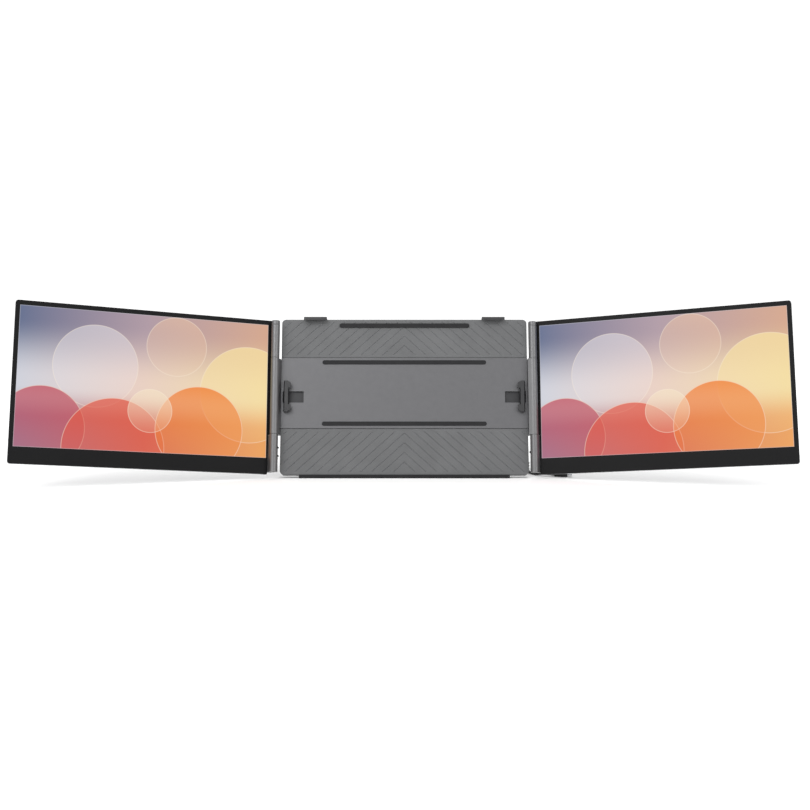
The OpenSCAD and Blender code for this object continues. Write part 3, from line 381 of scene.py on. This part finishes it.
# Tie: hook-and-loop strap round the coiled turns, its end lapped over
strap = {
    # millimetres
    "width": 7.0, "bundle": (9.4, 12.7), "cornerRadius": 2.2, "thickness": 0.65, "edge": 0.12,
    "lapFrom": 4.5,                   # height at which the lapped end stops
    "lapHeight": 2.0,                 # of its last strip, which bends away
    "lapOver": 0.5,                   # how far it reaches past the middle of the top
    "lapStep": 0.8,                   # how much further out it lies
    "lift": 1.1, "droop": 0.6,        # how far its last edge stands off and sinks
    "place": (158, 108, 0),
}
across, tall = strap["bundle"]
tie = addBlock("cableTie", (strap["width"], across, tall), (0, 0, tall / 2))
bpy.ops.object.mode_set(mode="EDIT")
pick("FACE", lambda f: abs(f.normal.x) > 0.9)
bpy.ops.mesh.delete(type="ONLY_FACE")
roundCorners(0, strap["width"], strap["cornerRadius"])
for z in (strap["lapFrom"], strap["lapFrom"] + strap["lapHeight"]):
    bpy.ops.mesh.select_all(action="SELECT")
    bpy.ops.mesh.bisect(plane_co=(0, 0, z * mm), plane_no=(0, 0, 1))


def onLap(face):
    centre = face.calc_center_median()
    return centre.y > -strap["lapOver"] * mm and centre.z > strap["lapFrom"] * mm


def onLastEdge(vertex):
    # Only the lap lies further out than half a step from the bundle
    outside = (across / 2 + strap["lapStep"] / 2) * mm
    return vertex.co.y > outside and vertex.co.z < (strap["lapFrom"] + strap["lapHeight"] / 2) * mm


# The lapped end: over the top and down the outer side, a thickness further out, its last edge lifted
pick("FACE", onLap)
bpy.ops.mesh.duplicate()
bpy.ops.transform.shrink_fatten(value=strap["lapStep"] * mm)
pick("VERT", onLastEdge)
bpy.ops.transform.translate(value=(0, strap["lift"] * mm, -strap["droop"] * mm))
bpy.ops.object.mode_set(mode="OBJECT")
applyModifier(tie, "SOLIDIFY", thickness=strap["thickness"] * mm, offset=-1)
applyModifier(tie, "BEVEL", width=strap["edge"] * mm, segments=2, limit_method="ANGLE",
              angle_limit=math.radians(50))
bpy.ops.object.shade_smooth_by_angle(angle=creaseAngle)
settle(tie, shifted(strap["place"]))
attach(tie, "frame")
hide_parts("cable_tie")
print("tie made")


# Cable: one free cord from the plug in the frame, through its coil, to the plug on the table
cable = {
    "diameter": 4 * mm,
    "length": 0.95,
    # straight out of the plug, then down to the coil (millimetres)
    "lead": [
        (116, 47.1, 16.9), (116, 54.3, 14.9), (116.6, 61.5, 11.8), (118.5, 68.5, 8.6), (121.5, 75, 6.2),
        (124.9, 81.2, 4.9)],
    # off the coil and along the table to the plug
    "tail": [
        (181.9, 66, 2.05), (181.9, 58, 2.05), (182.2, 50, 2.05), (183.2, 42.4, 2.05), (185.8, 35.2, 2.05),
        (190, 28.8, 2.25), (195.4, 24.6, 2.7), (201, 22.3, 3.2), (207.4, 20.9, 3.2)],
    # the coil: its turns lie in lanes, each with a radius and a height; angles in degrees
    "coilCentre": (158, 84),
    "coilStart": (30.1, 4.4),         # radius and height at which the lead joins
    "coilStartAngle": 173.3,
    "coilSweep": 1973.3,
    "lanes": [(26.1, 6.1), (26.1, 10.15), (21.9, 10.15), (21.9, 6.1), (21.9, 2.05), (26.1, 2.05)],
    "laneEnds": [330, 665, 1000, 1335, 1670],
    "crossOver": 84,                  # sweep that a change of lane takes
    "joinSweep": 45,                  # sweep in which the lead comes in to the first lane
    "step": 15,
    # fineness of the round section, of the mesh between two points of the route, and of the path
    "ringSteps": 3, "lengthSteps": 4, "pathSteps": 6,
}


def eased(t):
    t = min(max(t, 0.0), 1.0)
    return t * t * (3 - 2 * t)


def coilPoints(c):
    points = []
    centreX, centreY = c["coilCentre"]
    travelled = 0.0
    while travelled < c["coilSweep"] - 1:
        lane = sum(travelled >= end + c["crossOver"] / 2 for end in c["laneEnds"])
        radius, height = c["lanes"][lane]
        if lane < len(c["laneEnds"]):
            share = eased((travelled - c["laneEnds"][lane]) / c["crossOver"] + 0.5)
            nextRadius, nextHeight = c["lanes"][lane + 1]
            radius += share * (nextRadius - radius)
            height += share * (nextHeight - height)
        joined = eased(travelled / c["joinSweep"])
        radius = c["coilStart"][0] + joined * (radius - c["coilStart"][0])
        height = c["coilStart"][1] + joined * (height - c["coilStart"][1])
        angle = math.radians(c["coilStartAngle"] - travelled)
        points.append((centreX + radius * math.cos(angle), centreY + radius * math.sin(angle), height))
        travelled += c["step"]
    return points


cableRoute = [tuple(v * mm for v in p) for p in cable["lead"] + coilPoints(cable) + cable["tail"]]
cableCurve = bpy.data.curves.new("videoCable", "CURVE")
cableCurve.dimensions = "3D"
cableCurve.bevel_depth = cable["diameter"] / 2
cableCurve.bevel_resolution = cable["ringSteps"]
cableCurve.resolution_u = cable["lengthSteps"]
cableCurve.use_fill_caps = True
strand = cableCurve.splines.new("BEZIER")
strand.bezier_points.add(len(cableRoute) - 1)
for knot, point in zip(strand.bezier_points, cableRoute):
    knot.co = point
    knot.handle_left_type = knot.handle_right_type = "AUTO"
cableSpan = strand.calc_length()
cablePath = []
for knot, following in zip(strand.bezier_points, strand.bezier_points[1:]):
    stretch = interpolate_bezier(
        knot.co, knot.handle_right, following.handle_left, following.co, cable["pathSteps"])
    cablePath += stretch[:-1]
cablePath.append(strand.bezier_points[-1].co.copy())
videoCable = bpy.data.objects.new("videoCable", cableCurve)
bpy.context.scene.collection.objects.link(videoCable)
activate(videoCable)
bpy.ops.object.convert(target="MESH")
videoCable = bpy.context.object
bpy.ops.object.shade_smooth()
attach(videoCable, "frame")
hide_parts("cable_lead", "cable_coil", "cable_tail")
print("cable laid,", len(cableRoute), "points,", round(cableSpan, 4), "m")


# Finishes: colour and shade are the paler and the darker tone of the mottling, edge the paler tone
# painted on edges, partly as wear and partly as a painted highlight, edgeMm and edgeShare how wide edges
# soften and how strongly they are painted paler, mottleMm and grainMm the sizes of mottling and grain,
# depthMm the grain's depth, roughness the range of gloss.
# Real grain is mostly finer than half a millimetre, and is drawn coarser so that it shows.

# Injection-moulded ABS with a spark-eroded grain: dull, even and slightly speckled.
# The real grain is about 0.1 mm, so this one is drawn nine times coarser.
mouldedAbs = {
    "colour": "#606162", "shade": "#565758", "edge": "#9a9b9e", "edgeMm": 0.5, "edgeShare": 0.5,
    "mottleMm": 30, "grainMm": 0.9, "depthMm": 0.05, "roughness": (0.42, 0.58)}
# Bead-blasted and anodised aluminium: an even satin that picks up soft vertical highlights
blastedAluminium = {
    "colour": "#68686a", "shade": "#656567", "edge": "#a0a1a3", "edgeMm": 0.5, "edgeShare": 0.45,
    "mottleMm": 8, "grainMm": 0.6, "depthMm": 0.02, "roughness": (0.37, 0.42), "metallic": 0.75}
# Powder-coated steel: slight orange peel in a dull gloss. Its near-black tone is darker than the hooks' own
# grey: painted shade for the shade they lie in
powderCoatWithPaintedShade = {
    "colour": "#2a2a2c", "shade": "#252527", "edge": "#5a5b5f", "edgeMm": 0.5, "edgeShare": 0.5,
    "mottleMm": 9, "grainMm": 1.1, "depthMm": 0.05, "roughness": (0.3, 0.4)}
# Injection-moulded black ABS with a fine satin texture: nearly black, with a weak broad sheen
satinBlackAbs = {
    "colour": "#111112", "shade": "#0d0d0e", "edge": "#2a2a2c", "edgeMm": 0.6, "edgeShare": 0.5,
    "mottleMm": 40, "grainMm": 0.8, "depthMm": 0.03, "roughness": (0.4, 0.52), "specular": 0.13}
# Compression-moulded silicone rubber: black, soft, hardly any gloss
siliconeRubber = {
    "colour": "#1a1a1c", "shade": "#131315", "edge": "#2c2c2f", "edgeMm": 0.5, "edgeShare": 0.4,
    "mottleMm": 12, "grainMm": 0.7, "depthMm": 0.05, "roughness": (0.6, 0.78), "specular": 0.35}
# Moulded black acetal: dense and slippery, so a clearer gloss than the ABS beside it
acetal = {
    "colour": "#2b2b2e", "shade": "#242427", "edge": "#454549", "edgeMm": 0.4, "edgeShare": 0.4,
    "mottleMm": 18, "grainMm": 0.8, "depthMm": 0.03, "roughness": (0.3, 0.42)}
# Turned and polished steel: bright, with fine drawn-out tool marks
turnedSteel = {
    "colour": "#c3c5c9", "shade": "#aeb0b4", "edge": "#e6e7ea", "edgeMm": 0.2, "edgeShare": 0.4,
    "mottleMm": 10, "grainMm": 0.5, "depthMm": 0.02, "roughness": (0.2, 0.34), "metallic": 1.0,
    "stretch": (1, 1, 8)}
# Black zinc-plated screw steel: dark metal whose edges are painted pale, partly as rubbed wear and partly as
# a painted highlight
blackZincScrew = {
    "colour": "#3a3b3f", "shade": "#2e2f33", "edge": "#7c7d82", "edgeMm": 0.2, "edgeShare": 0.7,
    "mottleMm": 3, "grainMm": 0.5, "depthMm": 0.02, "roughness": (0.3, 0.42), "metallic": 0.9}
# Sintered bronze: brownish yellow, finely porous, half dull
sinteredBronze = {
    "colour": "#a9824c", "shade": "#8a683a", "edge": "#cfa970", "edgeMm": 0.2, "edgeShare": 0.4,
    "mottleMm": 3, "grainMm": 0.5, "depthMm": 0.03, "roughness": (0.35, 0.5), "metallic": 1.0}
# Fibreglass board under a green solder mask: smooth lacquer with its cut edge showing paler
solderMask = {
    "colour": "#20613f", "shade": "#154b2e", "edge": "#c9b27c", "edgeMm": 0.2, "edgeShare": 0.4,
    "mottleMm": 6, "grainMm": 1.2, "depthMm": 0.03, "roughness": (0.25, 0.4)}
# Cast acrylic light guide: milky white and glossy
lightGuide = {
    "colour": "#e4e6e8", "shade": "#d6d8da", "edge": "#f6f6f6", "edgeMm": 0.3, "edgeShare": 0.3,
    "mottleMm": 25, "grainMm": 1.0, "depthMm": 0.02, "roughness": (0.25, 0.35)}
# Extruded PVC cable jacket: black, satin, slightly uneven along its length
pvcJacket = {
    "colour": "#202023", "shade": "#18181a", "edge": "#303033", "edgeMm": 0.2, "edgeShare": 0.2,
    "mottleMm": 9, "grainMm": 0.7, "depthMm": 0.03, "roughness": (0.42, 0.56)}
# Woven hook-and-loop tape: fuzzy black pile, its loops drawn about twice as coarse as real
loopTape = {
    "colour": "#26262a", "shade": "#111113", "edge": "#3a3a3f", "edgeMm": 0.3, "edgeShare": 0.3,
    "mottleMm": 4, "grainMm": 0.45, "depthMm": 0.3, "roughness": (0.8, 0.95), "specular": 0.2, "sheen": 0.4}

gripPattern = {
    "slopes": (0.9, -0.9),    # of the two sets of lines that cross
    "pitch": 3.5 * mm,
    "lineShare": 0.12,        # half width of a line, in shares of the pitch
    "cover": 0.35,
    # painted shade in the fine grooves of the lines
    "colour": "#4a4b4e",
}


def gripLines(tree, place, colour, grain):
    # Faint crossing lines of the moulded grip, between the deep grooves, in the panel's leaned plane, cut in
    # as fine grooves and darkened there as painted shade
    upright = addNode(tree, "Mapping", "Vector", inputs={
        "Vector": place, "Rotation": (math.radians(posture["lean"]), 0, 0)})
    sets = []
    for slope in gripPattern["slopes"]:
        along = addNode(tree, "VectorMath", "Value", {"operation": "DOT_PRODUCT"}, {
            0: upright, 1: (slope / gripPattern["pitch"], 0, 1 / gripPattern["pitch"])})
        wave = addNode(tree, "Math", 0, {"operation": "PINGPONG"}, {0: along, 1: 0.5})
        sets.append(addNode(tree, "MapRange", "Result", inputs={
            "Value": wave, "From Min": 0.0, "From Max": gripPattern["lineShare"],
            "To Min": 1.0, "To Max": 0.0}))
    lines = addNode(tree, "Math", 0, {"operation": "MAXIMUM"}, {0: sets[0], 1: sets[1]})
    shown = addNode(tree, "Math", 0, {"operation": "MULTIPLY"}, {0: lines, 1: gripPattern["cover"]})
    # The lines darkened: painted shade in their grooves
    darker = addNode(tree, "Mix", 2, {"data_type": "RGBA"}, {
        "Factor": shown, 6: colour, 7: linear(gripPattern["colour"])})
    cut = addNode(tree, "Math", 0, {"operation": "SUBTRACT"}, {0: grain, 1: lines})
    return darker, cut


milledAluminium = dict(turnedSteel, colour="#b9babd", shade="#a9aaad")
blastedHinge = dict(blastedAluminium, colour="#747475", shade="#707071")
footRubber = dict(siliconeRubber, grainMm=1.2, depthMm=0.08)
powderCoatedLeg = dict(powderCoatWithPaintedShade, colour="#505155", shade="#4a4b4f", roughness=(0.38, 0.48))
mouldedPlug = dict(pvcJacket, grainMm=0.6, depthMm=0.02)
finishes = {
    # slot: its material
    "shell_plastic": buildFinish("mouldedAbs", mouldedAbs),
    "grip_plastic": buildFinish("grippedAbs", mouldedAbs, gripLines),
    "chassis_aluminium": buildFinish("milledAluminium", milledAluminium),
    "band_metal": buildFinish("blastedBand", blastedAluminium),
    "hinge_metal": buildFinish("blastedHinge", blastedHinge),
    "cover_metal": buildFinish("blastedCover", blastedAluminium),
    "bright_steel": buildFinish("turnedSteel", turnedSteel),
    "guide_plastic": buildFinish("mouldedAcetal", acetal),
    "silicone": buildFinish("siliconeRubber", siliconeRubber),
    "foot_rubber": buildFinish("footRubber", footRubber),
    "circuit_board": buildFinish("solderMask", solderMask),
    "dark_screw": buildFinish("blackZincScrew", blackZincScrew),
    "leg_metal": buildFinish("powderCoatedLeg", powderCoatedLeg),
    "hook_metal": buildFinish("powderCoatedHookPaintedShade", powderCoatWithPaintedShade),
    "bezel_plastic": buildFinish("satinBlackAbs", satinBlackAbs),
    "light_guide": buildFinish("acrylicLightGuide", lightGuide),
    "bush_bronze": buildFinish("sinteredBronze", sinteredBronze),
    "button_plastic": buildFinish("satinBlackKey", satinBlackAbs),
    "cable_jacket": buildFinish("pvcJacket", pvcJacket),
    "plug_plastic": buildFinish("mouldedPlug", mouldedPlug),
    "tie_fabric": buildFinish("hookAndLoopTape", loopTape),
}
slotOfNode = {
    "back_shell": "shell_plastic", "chassis_plate": "chassis_aluminium", "middle_band": "band_metal",
    "upper_grip_panel": "grip_plastic", "lower_grip_panel": "grip_plastic",
    "friction_washers": "bright_steel", "frame_screws": "dark_screw",
    "side_clip_guides": "guide_plastic", "top_clip_guides": "guide_plastic",
    "lid_pads": "silicone", "right_bumpers": "silicone", "foot_strip": "foot_rubber",
    "control_board": "circuit_board", "usb_sockets": "bright_steel",
    "kickstand_leg": "leg_metal", "kickstand_foot": "foot_rubber",
    "kickstand_brackets": "bright_steel", "kickstand_pins": "bright_steel",
    "left_button_upper": "button_plastic", "left_button_lower": "button_plastic",
    "right_button_single": "button_plastic",
}
slotOnEachSide = {
    "hinge_block": "hinge_metal", "hinge_shaft": "bright_steel", "hinge_spine": "hinge_metal",
    "knuckle_caps": "hinge_metal", "bushes": "bush_bronze", "screws": "dark_screw",
    "clip_hook": "hook_metal", "clip_pad": "silicone", "clip_carriage": "guide_plastic",
    "top_clip": "hook_metal", "top_pad": "silicone", "back_cover": "cover_metal",
    "bezel": "bezel_plastic", "backlight": "light_guide", "driver_board": "circuit_board",
}
for side in sides:
    for part, slotName in slotOnEachSide.items():
        slotOfNode[side + "_" + part] = slotName
for nodeName, slotName in slotOfNode.items():
    dress(nodes[nodeName], finishes[slotName])
handMade = [
    (videoCable, "cable_jacket"), (plugBody, "plug_plastic"), (farPlugBody, "plug_plastic"),
    (plugShell, "bright_steel"), (farPlugShell, "bright_steel"), (tie, "tie_fabric"),
    (socketTongue, "guide_plastic")]
for piece, slotName in handMade:
    dress(piece, finishes[slotName])
print("finishes given to", len(slotOfNode), "nodes")


# Pieces whose edges are rounded in the mesh, as the pressed and moulded originals are
rounding = {
    "steps": 3,
    "sharperThan": math.radians(45),      # edges that are rounded
    "creasedFrom": math.radians(30),      # edges that stay a crease in the shading
    "mergeWithin": 0.005 * mm,
    "flatWithin": math.radians(1),
    "areaWeight": 100,                    # keeps large flat faces evenly shaded beside their roundings
}
edgeRadii = {
    # node: radius in millimetres
    "middle_band": 0.3, "foot_strip": 0.8, "kickstand_leg": 0.35, "left_hinge_block": 0.3,
    "right_hinge_block": 0.3}
for side in sides:
    edgeRadii.update({side + "_top_clip": 0.7, side + "_clip_hook": 0.7, side + "_bezel": 0.3})
bodies = frame["record"]["behaviour"]["bodies"]
bodyOfNode = {node: body for body, members in bodies.items() for node in members}
for nodeName, radius in edgeRadii.items():
    first, *others = nodeName.split("_")
    rounded = copyOf(nodes[nodeName], first + "".join(word.capitalize() for word in others))
    activate(rounded)
    bpy.ops.object.mode_set(mode="EDIT")
    bpy.ops.mesh.select_all(action="SELECT")
    bpy.ops.mesh.remove_doubles(threshold=rounding["mergeWithin"])
    bpy.ops.mesh.dissolve_limited(angle_limit=rounding["flatWithin"])
    bpy.ops.object.mode_set(mode="OBJECT")
    applyModifier(rounded, "BEVEL", width=radius * mm, segments=rounding["steps"], limit_method="ANGLE",
                  angle_limit=rounding["sharperThan"])
    bpy.ops.object.shade_smooth_by_angle(angle=rounding["creasedFrom"])
    applyModifier(rounded, "WEIGHTED_NORMAL", weight=rounding["areaWeight"], keep_sharp=True)
    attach(rounded, bodyOfNode[nodeName])
    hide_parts(nodeName)
    print("rounded", rounded.name, len(rounded.data.polygons), "faces")


# Display pictures
picture = {
    "litWidth": 344.2 * mm, "litHeight": 193.6 * mm,
    "hingeSideMargin": 1.0 * mm,      # from the glass's edge to the lit area
    # washes from left to right: the middle one, then those that take over towards top and foot,
    # each with the heights at which it starts and is full, as shares of the lit height
    "middleWash": [(0.0, "#d3d5df"), (0.45, "#ecd2c6"), (1.0, "#f6dfa4")],
    "endWashes": [
        (0.48, 0.92, [(0.0, "#606c8e"), (0.5, "#b19aa5"), (1.0, "#d8a88c")]),
        (0.44, 0.2, [(0.0, "#977c96"), (0.5, "#d66858"), (1.0, "#f0a55a")]),
    ],
    # discs: centre in shares of the lit width and height, radius in shares of the height, colour, cover
    "discs": [
        ((0.30, 0.60), 0.30, "#f2edf2", 0.45),
        ((0.62, 0.78), 0.22, "#f4c9a6", 0.45),
        ((0.10, 0.14), 0.30, "#c43c52", 0.86),
        ((0.92, 0.46), 0.36, "#fbe2a2", 0.75),
        ((0.38, 0.02), 0.36, "#e4512e", 0.84),
        ((0.72, 0.18), 0.32, "#f4851a", 0.92),
        ((0.52, 0.30), 0.16, "#fae7c8", 0.60),
    ],
    "discBlur": 0.006,                # shares of the height, as the outline's three measures are
    "discFoot": 0.15,                 # how much of its cover a disc keeps at its foot
    "outlineInset": 0.004, "outlineCore": 0.0008, "outlineReach": 0.004,
    "outlineCover": 0.42, "outlineColour": "#fff1dc",
    # the paler edge of the panel, full from its core outwards
    "rimWidth": 0.9 * mm, "rimCore": 0.4, "rimCover": 0.45, "rimColour": "#dcdde2",
    "glow": 0.92,
    # the glass over it: nearly black where it isn't lit, etched to an anti-glare haze, whose grains are
    # drawn far fewer to the millimetre than they are, so that they show
    "glassColour": "#0c0c0e", "glassSpecular": 0.3,
    "hazePerMm": 0.9, "hazeDepth": 0.004 * mm, "hazeRoughness": (0.38, 0.5),
}


def displayPicture(name, corner, across, upward):
    # Lit panel: soft washes with overlapping translucent discs, paler along the panel's edge
    material, tree = emptyMaterial(name)
    width, height = picture["litWidth"], picture["litHeight"]
    place = addNode(tree, "TexCoord", "Object")
    fromCorner = addNode(tree, "VectorMath", "Vector", {"operation": "SUBTRACT"}, {0: place, 1: corner})
    u = addNode(tree, "VectorMath", "Value", {"operation": "DOT_PRODUCT"}, {
        0: fromCorner, 1: across / width})
    v = addNode(tree, "VectorMath", "Value", {"operation": "DOT_PRODUCT"}, {
        0: fromCorner, 1: upward / height})
    spread = addNode(tree, "Math", 0, {"operation": "MULTIPLY"}, {0: u, 1: width / height})
    flat = addNode(tree, "CombineXYZ", "Vector", inputs={"X": spread, "Y": v})

    colour = addNode(tree, "ValToRGB", "Color", inputs={"Fac": u}, ramp=picture["middleWash"])
    for start, full, wash in picture["endWashes"]:
        tint = addNode(tree, "ValToRGB", "Color", inputs={"Fac": u}, ramp=wash)
        share = addNode(tree, "MapRange", "Result", {"interpolation_type": "SMOOTHSTEP"}, {
            "Value": v, "From Min": start, "From Max": full, "To Min": 0.0, "To Max": 1.0})
        colour = addNode(tree, "Mix", 2, {"data_type": "RGBA"}, {"Factor": share, 6: colour, 7: tint})

    for (discU, discV), radius, discColour, cover in picture["discs"]:
        offset = addNode(tree, "VectorMath", "Value", {"operation": "DISTANCE"}, {
            0: flat, 1: (discU * width / height, discV, 0)})
        inside = addNode(tree, "MapRange", "Result", inputs={
            "Value": offset, "From Min": radius, "From Max": radius - picture["discBlur"],
            "To Min": 0.0, "To Max": 1.0})
        depth = addNode(tree, "MapRange", "Result", inputs={
            "Value": v, "From Min": discV - radius, "From Max": discV + radius,
            "To Min": cover * picture["discFoot"], "To Max": cover})
        shown = addNode(tree, "Math", 0, {"operation": "MULTIPLY"}, {0: inside, 1: depth})
        colour = addNode(tree, "Mix", 2, {"data_type": "RGBA"}, {
            "Factor": shown, 6: colour, 7: linear(discColour)})
        # Thin pale outline of the disc
        away = addNode(tree, "Math", 0, {"operation": "SUBTRACT"}, {
            0: offset, 1: radius - picture["outlineInset"]})
        near = addNode(tree, "Math", 0, {"operation": "ABSOLUTE"}, {0: away})
        outline = addNode(tree, "MapRange", "Result", inputs={
            "Value": near, "From Min": picture["outlineCore"], "From Max": picture["outlineReach"],
            "To Min": picture["outlineCover"], "To Max": 0.0})
        colour = addNode(tree, "Mix", 2, {"data_type": "RGBA"}, {
            "Factor": outline, 6: colour, 7: linear(picture["outlineColour"])})

    rims = []
    for share, size in ((u, width), (v, height)):
        near = addNode(tree, "Math", 0, {"operation": "PINGPONG"}, {0: share, 1: 0.5})
        rimShare = picture["rimWidth"] / size
        rims.append(addNode(tree, "MapRange", "Result", inputs={
            "Value": near, "From Min": rimShare, "From Max": picture["rimCore"] * rimShare,
            "To Min": 0.0, "To Max": picture["rimCover"]}))
    rim = addNode(tree, "Math", 0, {"operation": "MAXIMUM"}, {0: rims[0], 1: rims[1]})
    colour = addNode(tree, "Mix", 2, {"data_type": "RGBA"}, {
        "Factor": rim, 6: colour, 7: linear(picture["rimColour"])})

    film = addNode(tree, "TexNoise", "Fac", inputs={
        "Vector": place, "Scale": picture["hazePerMm"] / mm, "Detail": 2})
    clearest, haziest = picture["hazeRoughness"]
    haze = addNode(tree, "MapRange", "Result", inputs={"Value": film, "To Min": clearest, "To Max": haziest})
    relief = addNode(tree, "Bump", "Normal", inputs={"Height": film, "Distance": picture["hazeDepth"]})
    shader = addNode(tree, "BsdfPrincipled", "BSDF", inputs={
        "Base Color": linear(picture["glassColour"]), "Emission Color": colour,
        "Emission Strength": picture["glow"], "Roughness": haze, "Normal": relief,
        "Specular IOR Level": picture["glassSpecular"]})
    addNode(tree, "OutputMaterial", inputs={"Surface": shader})
    return material


for side, hand in sides.items():
    turned = uprightToLeaned.to_3x3() @ Matrix.Rotation(-hand * math.radians(posture["toeIn"]), 3, "Z")
    across, inward, upward = (turned @ Vector(axis) for axis in ((1, 0, 0), (0, 1, 0), (0, 0, 1)))
    glass = nodes[side + "_display"]
    corners = [v.co for v in glass.data.vertices]
    widths, heights = [c.dot(across) for c in corners], [c.dot(upward) for c in corners]
    glassWidth, glassHeight = max(widths) - min(widths), max(heights) - min(heights)
    # Its margin is narrow on the hinge side, and the same above and below
    margin = picture["hingeSideMargin"]
    if hand < 0:
        margin = glassWidth - picture["litWidth"] - margin
    corner = across * (min(widths) + margin)
    corner += upward * ((min(heights) + max(heights) - picture["litHeight"]) / 2)
    corner += inward * (sum(c.dot(inward) for c in corners) / len(corners))
    dress(glass, displayPicture(side + "DisplayPicture", corner, across, upward))
    print(side, "display", [round(c, 4) for c in corner], round(glassWidth, 4), round(glassHeight, 4))
